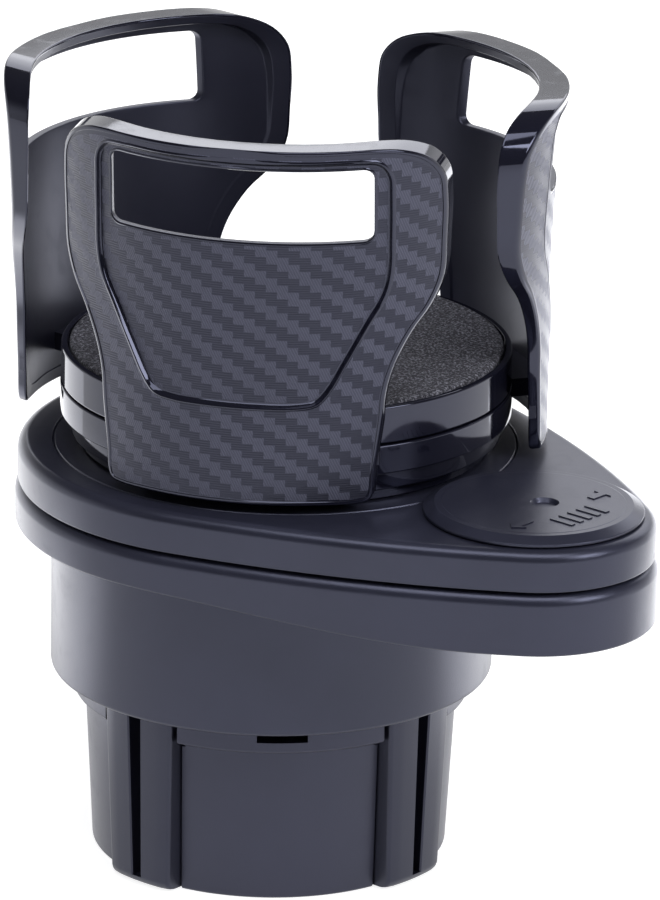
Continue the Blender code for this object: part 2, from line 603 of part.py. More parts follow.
def clearance(p, loop):
    best, n = 1e9, len(loop)
    for i in range(n):
        a, b = Vector(loop[i]), Vector(loop[(i + 1) % n])
        e = b - a
        t = min(1.0, max(0.0, (Vector(p) - a).dot(e) / max(e.length_squared, 1e-9)))
        best = min(best, (Vector(p) - a - e * t).length)
    return best


# half outlines of a claw seen from outside, as shares of its half width and height
CLAW = mirrored([(0.215, 0.000), (0.430, 0.000), (0.640, 0.000), (0.691, 0.020), (0.705, 0.100),
                 (0.732, 0.230), (0.743, 0.307), (0.781, 0.387), (0.855, 0.473), (0.934, 0.539),
                 (0.986, 0.617), (0.996, 0.725), (1.000, 0.832), (0.990, 0.907), (0.918, 0.961),
                 (0.814, 0.988), (0.680, 1.000), (0.453, 1.000), (0.226, 1.000)])
SUNK = mirrored([(0.179, 0.277), (0.357, 0.278), (0.459, 0.304), (0.560, 0.405), (0.662, 0.511),
                 (0.747, 0.603), (0.764, 0.703), (0.764, 0.803), (0.761, 0.912), (0.714, 0.956),
                 (0.604, 0.966), (0.398, 0.966), (0.192, 0.966)])
WINDOW = mirrored([(0.192, 0.738), (0.398, 0.738), (0.600, 0.738), (0.671, 0.774), (0.678, 0.846),
                   (0.675, 0.918), (0.620, 0.941), (0.398, 0.941), (0.192, 0.941)])


def claw_mesh():
    """Curved claw in local (out, side, up) millimetres."""
    verts, faces = [], []

    def put(pts, surface, depth=0.0):
        start = len(verts)
        for w, z in pts:
            r = surface(w, z) - depth
            verts.append((math.sqrt(r * r - w * w), w, z))
        return list(range(start, len(verts)))

    def bridge(a, b):
        n = len(a)
        for i in range(n):
            faces.append([a[i], a[(i + 1) % n], b[(i + 1) % n], b[i]])

    def fill(rings, extra, keep, surface, depth):
        pts, ids, edges = [], [], []
        for loop, loop_ids in rings:
            s = len(pts)
            pts += loop
            ids += loop_ids
            edges += [(s + i, s + (i + 1) % len(loop)) for i in range(len(loop))]
        extra = [p for p in extra if keep(p) and min(clearance(p, loop) for loop, _ in rings) > 1.6]
        ids += put(extra, surface, depth)
        pts += extra
        vs, _, tris, orig, _, _ = delaunay_2d_cdt([Vector(p) for p in pts], edges, [], 0, 1e-6)
        for tri in tris:
            mid = sum((vs[k] for k in tri), Vector((0, 0))) / 3
            if keep((mid.x, mid.y)):
                faces.append([ids[orig[k][0]] for k in tri])

    edge_in, sunk_in, hole = inset(CLAW, 0.7), inset(SUNK, SUNK_DEPTH), inset(WINDOW, -0.35)
    o_in, o_out, o_face = put(CLAW, claw_in), put(CLAW, claw_out, 0.6), put(edge_in, claw_out)
    s_top, s_low = put(SUNK, claw_out), put(sunk_in, claw_out, SUNK_DEPTH)
    h_face, h_edge = put(hole, claw_out, SUNK_DEPTH), put(WINDOW, claw_out, SUNK_DEPTH + 0.3)
    brim, pocket = inset(CLAW, POCKET_RIM), inset(CLAW, POCKET_RIM + 0.2)
    b_in, b_back, h_in = put(brim, claw_in), put(pocket, claw_back), put(WINDOW, claw_back)
    for a, b in ((o_in, o_out), (o_out, o_face), (s_top, s_low), (h_face, h_edge), (h_edge, h_in),
                 (b_in, b_back)):
        bridge(a, b)
    grid = [(-33.0 + 6.6 * i, CLAW_Z0 + 3.5 + 6.5 * j) for i in range(11) for j in range(11)]
    fill([(edge_in, o_face), (SUNK, s_top)], grid,
         lambda p: inside(p, edge_in) and not inside(p, SUNK), claw_out, 0.0)
    fill([(sunk_in, s_low), (hole, h_face)], grid,
         lambda p: inside(p, sunk_in) and not inside(p, hole), claw_out, SUNK_DEPTH)
    fill([(CLAW, o_in), (brim, b_in)], [], lambda p: inside(p, CLAW) and not inside(p, brim), claw_in, 0.0)
    fill([(pocket, b_back), (WINDOW, h_in)], grid,
         lambda p: inside(p, pocket) and not inside(p, WINDOW), claw_back, 0.0)
    return verts, faces


def build_gripper(index, angle, out, mats):
    verts, faces = claw_mesh()
    claw = solid("claw", verts, faces)
    arm_top = ARM_Z0 + ARM_T
    tip = [(math.sqrt((CLAW_IN + 1.0) ** 2 - v * v), v) for v in (ARM_HALF * k / 3 for k in range(-3, 4))]
    arm = prism([(ARM_END, ARM_HALF), (ARM_END, -ARM_HALF)] + tip, ARM_Z0, arm_top)
    slot = capsule(STOP_AT - GRIPPER_OUT - 0.6, STOP_AT, STOP_R + 0.35)
    cut(arm, prism(slot, ARM_Z0 - 2, arm_top + 2))
    lugs = []
    for s in (-1, 1):
        spans = (LUG_AT - 1.4, LUG_AT + 0.9)
        loop = [(math.sqrt((CLAW_IN + 0.3) ** 2 - w * w), s * w) for w in spans]
        loop += [(math.sqrt((CLAW_IN + 1.4) ** 2 - w * w), s * w) for w in spans[::-1]]
        lugs.append(prism(loop, ARM_Z0 + 0.7, arm_top + 0.5))
    join(claw, arm, *lugs)
    c, s = math.cos(math.radians(angle)), math.sin(math.radians(angle))
    for v in claw.data.vertices:
        n, w = v.co.x + out * MM, v.co.y
        v.co.x, v.co.y = STACK_X * MM + n * c - w * s, n * s + w * c
    return finish(claw, f"gripper_{index}", mats["textured"])


def main():
    for obj in list(bpy.data.objects):
        bpy.data.objects.remove(obj)
    mats = {
        "satin": material("satin_black_plastic", (0.030, 0.030, 0.040), 0.38),
        "gloss": material("gloss_black_plastic", (0.018, 0.018, 0.026), 0.12),
        "textured": material("textured_black_plastic", (0.036, 0.036, 0.048), 0.32),
        "foam": material("black_foam", (0.030, 0.029, 0.028), 0.95),
        "steel": material("zinc_plated_steel", (0.55, 0.56, 0.58), 0.3),
    }
    mats["steel"].node_tree.nodes["Principled BSDF"].inputs["Metallic"].default_value = 1.0
    build_foot_shell(mats)
    build_foot_plates(mats)
    for i, angle in enumerate(LEG_ANGLES):
        build_leg(i + 1, angle, mats)
    build_cup(mats)
    build_cam(mats)
    build_swing_plate(mats)
    build_pivot(mats)
    build_stack(mats)
    for index, angle, out in GRIPPERS:
        build_gripper(index, angle, out, mats)


main()
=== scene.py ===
"""Looks of the car cup holder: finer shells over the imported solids, their
plastics, the foam pad, the screws, a white studio and the camera.
Shapes are worked out in millimetres and written to the meshes in metres."""

import math

import bmesh
import bpy
from mathutils import Matrix, Vector
from mathutils.geometry import delaunay_2d_cdt


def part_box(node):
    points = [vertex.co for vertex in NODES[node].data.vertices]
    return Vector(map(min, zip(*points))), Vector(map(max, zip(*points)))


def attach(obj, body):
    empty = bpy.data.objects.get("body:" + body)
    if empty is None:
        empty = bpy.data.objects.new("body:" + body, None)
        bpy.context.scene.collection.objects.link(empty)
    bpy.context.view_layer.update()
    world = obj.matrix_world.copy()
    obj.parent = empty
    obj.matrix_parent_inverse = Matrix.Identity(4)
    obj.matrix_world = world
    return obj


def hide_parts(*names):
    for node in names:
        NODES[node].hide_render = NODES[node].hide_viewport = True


MM = 0.001
GAP = 0.3
X, Y, Z = 0, 1, 2

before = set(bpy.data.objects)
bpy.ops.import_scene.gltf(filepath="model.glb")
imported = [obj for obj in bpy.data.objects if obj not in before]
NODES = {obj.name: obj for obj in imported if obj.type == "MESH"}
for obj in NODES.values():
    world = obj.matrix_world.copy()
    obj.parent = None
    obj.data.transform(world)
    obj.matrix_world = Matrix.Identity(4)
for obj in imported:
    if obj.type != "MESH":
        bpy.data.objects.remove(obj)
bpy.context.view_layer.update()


def low(node, axis):
    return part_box(node)[0][axis] / MM


def high(node, axis):
    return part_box(node)[1][axis] / MM


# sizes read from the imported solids
FOOT_COVER_R = high("foot_bottom_cover", Y)
COLLAR_R = high("foot_shell", Y)
COLLAR_Z1 = high("foot_shell", Z)
LEG_R_TOP, LEG_HALF = high("leg_1", X), high("leg_1", Y)
LEG_Z0, LEG_Z1 = low("leg_1", Z), high("leg_1", Z)
CUP_HUB_Z0 = low("cup_body", Z)
LOW_TOP = high("cup_body", Z)
UP_TOP = high("swing_plate", Z)
CAP_Z0 = low("pivot_cap", Z) + 1.25
CAP_R = high("pivot_cap", Y)
PIVOT_X = (low("pivot_cap", X) + high("pivot_cap", X)) / 2
STACK_X = (low("tray_disc", X) + high("tray_disc", X)) / 2
BASE_Z0, BASE_Z1 = low("base_ring", Z), high("base_ring", Z)
GUIDE_Z0, GUIDE_Z1 = low("guide_ring", Z), high("guide_ring", Z)
TRAY_Z0, TRAY_Z1 = low("tray_disc", Z), high("tray_disc", Z)
BASE_R = high("base_ring", Y)
GUIDE_R = high("guide_ring", Y)
BAND_R = high("tray_disc", Y)
PAD_R = high("foam_pad", Y)
PAD_Z0, PAD_Z1 = low("foam_pad", Z), high("foam_pad", Z)
CLAW_Z0, CLAW_Z1 = low("gripper_3", Z), high("gripper_3", Z)

# foot
FOOT_R_BASE, FOOT_R_TOP, FOOT_WALL = 34.5, 36.05, 2.4
COLLAR_Z0, COLLAR_WALL = 31.05, 2.4
DECK_Z0, DECK_Z1 = 30.6, 33.1
NOTCH_HALF, NOTCH_Z0, NOTCH_Z1 = 4.85, DECK_Z1 + 0.2, DECK_Z1 + 1.65
COVER_TOP = 2.1
BOSS_AT, BOSS_R, SCREW_HOLE = 27.0, 3.4, 1.5
GUIDE_WALL = 1.8
SLOT_HALF, SLOT_FILLET = 2.35, 2.3
LEG_TAPER = 1.1
LEG_R = LEG_R_TOP - LEG_TAPER
LEG_ANGLES = (0, 90, 180, 270)
LEG_BODIES = ("leg_east", "leg_north", "leg_west", "leg_south")
CORNERS = (45, 135, 225, 315)

# cup and plates
CUP_R, WELL_R = 42.8, 39.8
CUP_Z0 = COLLAR_Z1 + GAP
WELL_FLOOR = CUP_Z0 + 3.0
BIG_X, BIG_R, SMALL_R, SIDE_BULGE = 1.5, 50.9, 23.5, 2.26
SKIRT_BIG, SKIRT_SMALL = LOW_TOP - 7.6, LOW_TOP - 11.95
UP_BOTTOM = LOW_TOP + 0.35
PLATE_STEP = 0.5
CAP_TOP = UP_TOP + 2.0
BOLT_HOLE = 2.3

# grippers: number, angle round the stack, how far each stands out
GRIPPERS = ((1, -61.4, 0.0), (2, 58.6, 4.9), (3, 178.6, 9.4))
GRIPPER_BODIES = ("gripper_front", "gripper_right", "gripper_far")
CLAW_IN = 43.6
CLAW_REACH = CLAW_IN + 3.75
CLAW_HALF = 0.84 * CLAW_IN
CLAW_H = CLAW_Z1 - CLAW_Z0
SUNK_DEPTH, FACE_DEPTH = 0.85, 0.14
WINDOW_HALF, WINDOW_FILLET = 24.8, 1.8
WINDOW_Z0, WINDOW_Z1 = CLAW_Z0 + 51.0, CLAW_Z0 + 64.9
CLAW_WALL, CLAW_SWELL, CLAW_SKIN = 2.0, 2.5, 1.6
LIP_H, LIP_LEAN = 8.7, 1.6
ARM_HALF, ARM_IN, ARM_Z0, ARM_Z1 = 10.7, 14.0, 90.3, 93.9
LUG_IN, LUG_OUT, LUG_Z0, LUG_Z1 = 43.9, 45.0, 91.0, 94.4
LUG_SIDES = (23.9, 26.1)


# meshes
def solid(name, verts, faces, slots=None):
    mesh = bpy.data.meshes.new(name)
    mesh.from_pydata([[c * MM for c in v] for v in verts], [], faces)
    if slots:
        mesh.polygons.foreach_set("material_index", slots)
    bm = bmesh.new()
    bm.from_mesh(mesh)
    bmesh.ops.remove_doubles(bm, verts=bm.verts, dist=1e-7)
    bmesh.ops.recalc_face_normals(bm, faces=bm.faces)
    if bm.calc_volume(signed=True) < 0:
        bmesh.ops.reverse_faces(bm, faces=bm.faces)
    bm.to_mesh(mesh)
    bm.free()
    obj = bpy.data.objects.new(name, mesh)
    bpy.context.scene.collection.objects.link(obj)
    return obj


def rounded(corners, steps=4):
    """Polygon points with each (x, y, fillet) corner turned into an arc."""
    points, n = [], len(corners)
    for i in range(n):
        x, y, fillet = corners[i]
        here = Vector((x, y))
        before, after = Vector(corners[i - 1][:2]), Vector(corners[(i + 1) % n][:2])
        if fillet <= 0:
            points.append((x, y))
            continue
        a, b = (before - here).normalized(), (after - here).normalized()
        half = a.angle(b) / 2
        reach = fillet / math.tan(half)
        middle = here + (a + b).normalized() * (fillet / math.sin(half))
        start, end = here + a * reach - middle, here + b * reach - middle
        turn = start.angle_signed(end)
        for k in range(steps + 1):
            t = -turn * k / steps
            c, s = math.cos(t), math.sin(t)
            points.append((middle.x + start.x * c - start.y * s,
                           middle.y + start.x * s + start.y * c))
    return points


def lathe(name, profile, steps=128, x=0.0, y=0.0):
    """Turns a closed (radius, height) polygon round an upright axis."""
    verts, faces, m = [], [], len(profile)
    for i in range(steps):
        a = 2 * math.pi * i / steps
        verts += [(x + r * math.cos(a), y + r * math.sin(a), z) for r, z in profile]
    for i in range(steps):
        j = (i + 1) % steps
        for k in range(m):
            q = (k + 1) % m
            if profile[k][0] < 1e-6 and profile[q][0] < 1e-6:
                continue
            face = [i * m + k, j * m + k, j * m + q, i * m + q]
            if profile[k][0] < 1e-6:
                face.pop(1)
            elif profile[q][0] < 1e-6:
                face.pop(2)
            faces.append(face)
    return solid(name, verts, faces)


def prism(name, loop, z0, z1):
    n = len(loop)
    verts = [(x, y, z0) for x, y in loop] + [(x, y, z1) for x, y in loop]
    faces = [list(range(n))[::-1], list(range(n, 2 * n))]
    faces += [[i, (i + 1) % n, n + (i + 1) % n, n + i] for i in range(n)]
    return solid(name, verts, faces)


def spin(points, angle, x=0.0, y=0.0):
    c, s = math.cos(math.radians(angle)), math.sin(math.radians(angle))
    return [(x + u * c - v * s, y + u * s + v * c) for u, v in points]


def bar(u0, u1, v0, v1, z0, z1, angle=0.0, x=0.0, y=0.0):
    return prism("bar", spin([(u0, v0), (u1, v0), (u1, v1), (u0, v1)], angle, x, y), z0, z1)


def wedge(u0, u1, half0, half1, z0, z1, angle=0.0):
    """A block whose half width changes evenly from its bottom to its top."""
    verts = [(x, y, z) for half, z in ((half0, z0), (half1, z1))
             for x, y in spin([(u0, -half), (u1, -half), (u1, half), (u0, half)], angle)]
    faces = [[3, 2, 1, 0], [4, 5, 6, 7]]
    faces += [[i, (i + 1) % 4, 4 + (i + 1) % 4, 4 + i] for i in range(4)]
    return solid("wedge", verts, faces)


def rod(x, y, r, z0, z1, sides=32):
    at = [0.07 + 2 * math.pi * i / sides for i in range(sides)]
    return prism("rod", [(x + r * math.cos(a), y + r * math.sin(a)) for a in at], z0, z1)


def ring_of(radius, angles, x=0.0):
    return [spin([(radius, 0)], a, x)[0] for a in angles]


def slot_prism(u0, u1, z0, z1, angle=0.0):
    """A long hole with round ends, to be cut out."""
    corners = ((u0, -SLOT_HALF), (u1, -SLOT_HALF), (u1, SLOT_HALF), (u0, SLOT_HALF))
    loop = rounded([(u, v, SLOT_FILLET) for u, v in corners], 6)
    return prism("slot", spin(loop, angle), z0, z1)


def combine(base, others, operation):
    for other in others:
        mod = base.modifiers.new("step", "BOOLEAN")
        mod.operation, mod.solver, mod.object = operation, "EXACT", other
        graph = bpy.context.evaluated_depsgraph_get()
        mesh = bpy.data.meshes.new_from_object(base.evaluated_get(graph))
        base.modifiers.clear()
        old, base.data = base.data, mesh
        bpy.data.meshes.remove(old)
        bpy.data.objects.remove(other)
    return base


def join(base, *others):
    return combine(base, others, "UNION")


def cut(base, *others):
    return combine(base, others, "DIFFERENCE")


def soften(obj, width=0.2, segments=2):
    """Breaks the sharp edges that a cut leaves."""
    mod = obj.modifiers.new("edges", "BEVEL")
    mod.width = width * MM
    mod.segments = segments
    mod.limit_method = "ANGLE"
    mod.angle_limit = math.radians(35)
    mod.use_clamp_overlap = True
    return obj


def dress(obj, name, body, nodes, mats, sharp=32.0):
    """Names a finished shell, shades it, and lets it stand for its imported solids."""
    mesh = obj.data
    obj.name = mesh.name = name
    mesh.shade_smooth()
    mesh.set_sharp_from_angle(angle=math.radians(sharp))
    if not mesh.materials:
        for mat in mats:
            mesh.materials.append(mat)
    mod = obj.modifiers.new("weighted", "WEIGHTED_NORMAL")
    mod.keep_sharp = True
    mod.weight = 60
    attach(obj, body)
    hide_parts(*nodes)
    return obj


# materials
COOL = (0.72, 0.75, 1.0, 1)
SPECULAR = 0.75


class Shader:
    """Small helper that adds and links nodes by name."""

    def __init__(self, tree):
        self.tree = tree

    def node(self, kind, **values):
        made = self.tree.nodes.new("ShaderNode" + kind)
        inputs = values.pop("inputs", {})
        for key, value in values.items():
            setattr(made, key, value)
        for key, value in inputs.items():
            self.feed(made.inputs[key], value)
        return made

    def feed(self, socket, value):
        if isinstance(value, bpy.types.NodeSocket):
            self.tree.links.new(value, socket)
        elif isinstance(value, bpy.types.Node):
            self.tree.links.new(value.outputs[0], socket)
        elif socket.type == "VECTOR":
            socket.default_value = value[:3]
        else:
            socket.default_value = value

    def math(self, operation, a, b=0.0, c=0.0):
        return self.node("Math", operation=operation, inputs={0: a, 1: b, 2: c}).outputs[0]

    def dot(self, a, b):
        made = self.node("VectorMath", operation="DOT_PRODUCT", inputs={0: a, 1: b})
        return made.outputs["Value"]

    def bump(self, strength, depth, height, **more):
        """The depth of the bump is in millimetres."""
        return self.node("Bump", inputs={"Strength": strength, "Distance": depth * MM,
                                         "Height": height, **more}).outputs[0]

    def mix(self, factor, a, b):
        made = self.node("Mix", data_type="RGBA")
        self.feed(made.inputs[0], factor)
        self.feed(made.inputs[6], a)
        self.feed(made.inputs[7], b)
        return made.outputs[2]

    def ramp(self, value, start, end, low_value=0.0, high_value=1.0):
        made = self.node("MapRange", interpolation_type="SMOOTHSTEP")
        for k, v in enumerate((value, start, end, low_value, high_value)):
            self.feed(made.inputs[k], v)
        return made.outputs[0]


def group(name, inputs, outputs):
    tree = bpy.data.node_groups.new(name, "ShaderNodeTree")
    for label, kind, value in inputs:
        socket = tree.interface.new_socket(label, in_out="INPUT",
                                           socket_type="NodeSocket" + kind)
        if value is not None:
            socket.default_value = value
    for label, kind in outputs:
        tree.interface.new_socket(label, in_out="OUTPUT", socket_type="NodeSocket" + kind)
    return tree, Shader(tree), tree.nodes.new("NodeGroupInput"), tree.nodes.new("NodeGroupOutput")


def make_grain_group():
    """Fine moulded grain with a slow change of tone across the surface."""
    tree, s, gin, gout = group(
        "moulded_grain",
        [("Vector", "Vector", None), ("Grain per metre", "Float", 3500.0)],
        [("Height", "Float"), ("Tone", "Float"), ("Smudge", "Float")],
    )
    fine = s.node("TexNoise", inputs={"Vector": gin.outputs[0], "Scale": gin.outputs[1],
                                      "Detail": 2.0, "Roughness": 0.6})
    broad = s.node("TexNoise", inputs={"Vector": gin.outputs[0], "Scale": 55.0, "Detail": 3.0})
    smear = s.node("TexNoise", inputs={"Vector": gin.outputs[0], "Scale": 190.0, "Detail": 4.0,
                                       "Roughness": 0.65, "Distortion": 0.8})
    s.feed(gout.inputs[0], fine.outputs[0])
    s.feed(gout.inputs[1], s.ramp(broad.outputs[0], 0.3, 0.7, 0.9, 1.1))
    s.feed(gout.inputs[2], s.ramp(smear.outputs[0], 0.5, 0.75))
    return tree


def make_twill_group():
    """Moulded two by two twill: bands of raised cells that step one column per row."""
    tree, s, gin, gout = group(
        "moulded_twill",
        [("Vector", "Vector", None), ("Column", "Float", 2.15 * MM), ("Row", "Float", 1.35 * MM),
         ("Radius", "Float", 48 * MM)],
        [("Height", "Float"), ("Cell", "Float"), ("Thread", "Float")],
    )
    parts = s.node("SeparateXYZ", inputs={0: gin.outputs[0]})
    turn = s.math("ARCTAN2", parts.outputs[1], parts.outputs[0])
    around = s.math("MULTIPLY", turn, gin.outputs[3])
    u = s.math("DIVIDE", around, gin.outputs[1])
    v = s.math("DIVIDE", parts.outputs[2], gin.outputs[2])
    step = s.math("ADD", s.math("FLOOR", u), s.math("FLOOR", v))
    cell = s.math("LESS_THAN", s.math("FLOORED_MODULO", step, 4.0), 1.5)
    slant = s.math("ADD", s.math("MULTIPLY", u, 4.0), s.math("MULTIPLY", v, 1.3))
    wave = s.math("SINE", s.math("MULTIPLY", slant, 2 * math.pi))
    thread = s.math("MULTIPLY_ADD", wave, 0.5, 0.5)
    across = s.math("MULTIPLY_ADD", s.math("SINE", s.math("MULTIPLY", v, 6 * math.pi)), 0.5, 0.5)
    raised = s.math("MULTIPLY_ADD", thread, 0.35, 0.65)
    sunk = s.math("MULTIPLY", across, 0.2)
    height = s.math("ADD", s.math("MULTIPLY", cell, raised),
                    s.math("MULTIPLY", s.math("SUBTRACT", 1.0, cell), sunk))
    s.feed(gout.inputs[0], height)
    s.feed(gout.inputs[1], cell)
    s.feed(gout.inputs[2], thread)
    return tree


def new_material(name, rough, metallic=0.0):
    mat = bpy.data.materials.new(name)
    mat.use_nodes = True
    shader = mat.node_tree.nodes["Principled BSDF"]
    shader.inputs["Roughness"].default_value = rough
    shader.inputs["Metallic"].default_value = metallic
    return mat, Shader(mat.node_tree), shader


def new_plastic(name, rough):
    mat, s, shader = new_material(name, rough)
    shader.inputs["Specular Tint"].default_value = COOL
    shader.inputs["Specular IOR Level"].default_value = SPECULAR
    return mat, s, shader


def placed(s, tree, **inputs):
    made = s.node("Group", node_tree=tree)
    for key, value in inputs.items():
        s.feed(made.inputs[key.replace("_", " ")], value)
    return made


def tinted(s, colour, tone):
    made = s.node("VectorMath", operation="SCALE", inputs={0: colour, "Scale": tone})
    return made.outputs[0]


def satin_plastic(name, colour, rough, grain_depth):
    mat, s, shader = new_plastic(name, rough)
    grain = placed(s, GROUPS["grain"], Vector=s.node("TexCoord").outputs["Object"])
    uneven = s.math("MULTIPLY_ADD", grain.outputs["Smudge"], 0.06, rough)
    s.feed(shader.inputs["Base Color"], tinted(s, colour, grain.outputs["Tone"]))
    s.feed(shader.inputs["Roughness"], uneven)
    s.feed(shader.inputs["Normal"], s.bump(0.35, grain_depth, grain.outputs["Height"]))
    return mat


def gloss_plastic(name, colour):
    mat, s, shader = new_plastic(name, 0.07)
    grain = placed(s, GROUPS["grain"], Vector=s.node("TexCoord").outputs["Object"],
                   Grain_per_metre=260.0)
    uneven = s.math("MULTIPLY_ADD", grain.outputs["Smudge"], 0.05, 0.06)
    s.feed(shader.inputs["Base Color"], tinted(s, colour, grain.outputs["Tone"]))
    s.feed(shader.inputs["Roughness"], uneven)
    s.feed(shader.inputs["Normal"], s.bump(0.05, 0.1, grain.outputs["Height"]))
    return mat


def twill_plastic():
    mat, s, shader = new_plastic("twill_textured_plastic", 0.35)
    coord = s.node("Attribute", attribute_name="claw_place").outputs["Vector"]
    twill = placed(s, GROUPS["twill"], Vector=coord)
    grain = placed(s, GROUPS["grain"], Vector=coord)
    # The raised cells take the light colour, brightened along each thread by the sheen. This is
    # painted highlight and painted sheen for the light that their ribs catch. The weave's bump and
    # roughness are real.
    dark, light = (0.007, 0.007, 0.013, 1), (0.100, 0.102, 0.142, 1)
    painted_thread_sheen = s.math("MULTIPLY_ADD", twill.outputs["Thread"], 0.5, 0.5)
    body = s.mix(s.math("MULTIPLY", twill.outputs["Cell"], painted_thread_sheen), dark, light)
    uneven = s.math("MULTIPLY_ADD", twill.outputs["Cell"], 0.10, 0.34)
    weave = s.bump(0.8, 0.15, twill.outputs["Height"])
    s.feed(shader.inputs["Base Color"], tinted(s, body, grain.outputs["Tone"]))
    s.feed(shader.inputs["Roughness"], uneven)
    s.feed(shader.inputs["Normal"], s.bump(0.2, 0.03, grain.outputs["Height"], Normal=weave))
    return mat


def foam():
    mat, s, shader = new_material("closed_cell_foam", 0.95)
    coord = s.node("TexCoord").outputs["Object"]
    cells = s.node("TexVoronoi", inputs={"Vector": coord, "Scale": 2600.0})
    specks = s.node("TexNoise", inputs={"Vector": coord, "Scale": 1900.0, "Detail": 2.0,
                                        "Roughness": 0.8})
    cloud = s.node("TexNoise", inputs={"Vector": coord, "Scale": 60.0, "Detail": 2.0})
    dark, light = (0.042, 0.041, 0.051, 1), (0.33, 0.33, 0.38, 1)
    body = s.mix(s.ramp(specks.outputs[0], 0.45, 0.70), dark, light)
    tone = s.ramp(cloud.outputs[0], 0.3, 0.7, 0.85, 1.15)
    s.feed(shader.inputs["Base Color"], tinted(s, body, tone))
    s.feed(shader.inputs["Normal"], s.bump(1.0, 0.25, cells.outputs[0]))
    return mat


def zinc_steel():
    mat, s, shader = new_material("zinc_plated_steel", 0.3, metallic=1.0)
    grain = placed(s, GROUPS["grain"], Vector=s.node("TexCoord").outputs["Object"],
                   Grain_per_metre=900.0)
    uneven = s.math("MULTIPLY_ADD", grain.outputs["Smudge"], 0.2, 0.25)
    s.feed(shader.inputs["Base Color"],
           tinted(s, (0.56, 0.57, 0.60, 1), grain.outputs["Tone"]))
    s.feed(shader.inputs["Roughness"], uneven)
    s.feed(shader.inputs["Normal"], s.bump(0.2, 0.05, grain.outputs["Height"]))
    return mat


GROUPS = {"grain": make_grain_group(), "twill": make_twill_group()}
SATIN = satin_plastic("satin_black_plastic", (0.026, 0.027, 0.044, 1), 0.30, 0.05)
FOOT = satin_plastic("matt_black_plastic", (0.026, 0.026, 0.042, 1), 0.32, 0.05)
INNER = satin_plastic("smooth_black_plastic", (0.015, 0.015, 0.025, 1), 0.36, 0.03)
LEG = satin_plastic("dark_leg_plastic", (0.010, 0.010, 0.018, 1), 0.36, 0.04)
GLOSS = gloss_plastic("polished_black_plastic", (0.009, 0.009, 0.017, 1))
TWILL = twill_plastic()
FOAM = foam()
STEEL = zinc_steel()


# foot
def leg_half(z):
    return LEG_HALF - LEG_TAPER * (1 - z / LEG_Z1)


def dress_foot():
    foot_in = FOOT_R_BASE - FOOT_WALL
    deck_hole = 8.4
    collar_in = COLLAR_R - COLLAR_WALL
    shell = lathe("shell", rounded([
        (foot_in, 0, 0.3), (FOOT_R_BASE, 0, 0.6), (FOOT_R_TOP, COLLAR_Z0, 0.3),
        (COLLAR_R, COLLAR_Z0, 0.7), (COLLAR_R, COLLAR_Z1, 0.3), (collar_in, COLLAR_Z1, 0.2),
        (collar_in, DECK_Z1, 0), (deck_hole, DECK_Z1, 0), (deck_hole, DECK_Z0, 0),
        (foot_in, DECK_Z0, 0)]), 160)
    channel = LEG_HALF + 0.8
    inside_z0, inside_z1 = COVER_TOP + GAP, DECK_Z0 + 0.5
    walls = [bar(foot_in - 10.6, foot_in - 0.6, v, v + GUIDE_WALL, inside_z0, inside_z1, a)
             for a in LEG_ANGLES for v in (channel, -channel - GUIDE_WALL)]
    places = ring_of(BOSS_AT, CORNERS)
    join(shell, *walls, *[rod(x, y, BOSS_R, inside_z0, inside_z1) for x, y in places])
    far = COLLAR_R + 7
    cuts = []
    for a in LEG_ANGLES:
        cuts.append(wedge(31.0, far, leg_half(-1) + GAP, leg_half(DECK_Z0) + GAP,
                          -1, DECK_Z0 - 0.15, a))
        cuts.append(bar(30.3, far, -channel, channel, DECK_Z0 - 0.6, COLLAR_Z1 + 1, a))
        cuts.append(slot_prism(13.1, 26.9, DECK_Z0 - 1.6, DECK_Z1 + 1.4, a))
    for a in CORNERS:
        cuts.append(bar(collar_in - 1, far, -NOTCH_HALF, NOTCH_HALF, NOTCH_Z0, NOTCH_Z1, a))
    cuts += [rod(x, y, SCREW_HOLE, 1.0, 12.0, 16) for x, y in places]
    cut(shell, *cuts)
    soften(shell, 0.3)
    dress(shell, "foot_housing", "foot", ["foot_shell"], [FOOT])


def dress_cover():
    places = ring_of(BOSS_AT, CORNERS)
    r = FOOT_COVER_R
    cover = lathe("cover", rounded([
        (0, 0, 0), (r, 0, 0.5), (r, COVER_TOP, 0.2), (0, COVER_TOP, 0)]), 128)
    ring = lathe("ring", [(18.0, -1), (20.0, -1), (20.0, 0.35), (18.0, 0.35)], 96)
    half = leg_half(COVER_TOP) + 1
    cuts = [bar(26.6, r + 8, -half, half, -1, 4, a) for a in LEG_ANGLES]
    cuts += [rod(x, y, 3.2, -1, 1.1) for x, y in places]
    cuts += [rod(x, y, SCREW_HOLE, -1, 4, 20) for x, y in places]
    cut(cover, ring, *cuts)
    soften(cover, 0.15)
    dress(cover, "foot_base_cover", "foot", ["foot_bottom_cover"], [FOOT])


def round_off(depth, height, z):
    """How far an end that is rounded over this height stands back at z from the end."""
    return depth * (1 - math.sqrt(max(0.0, 1 - (1 - z / height) ** 2)))


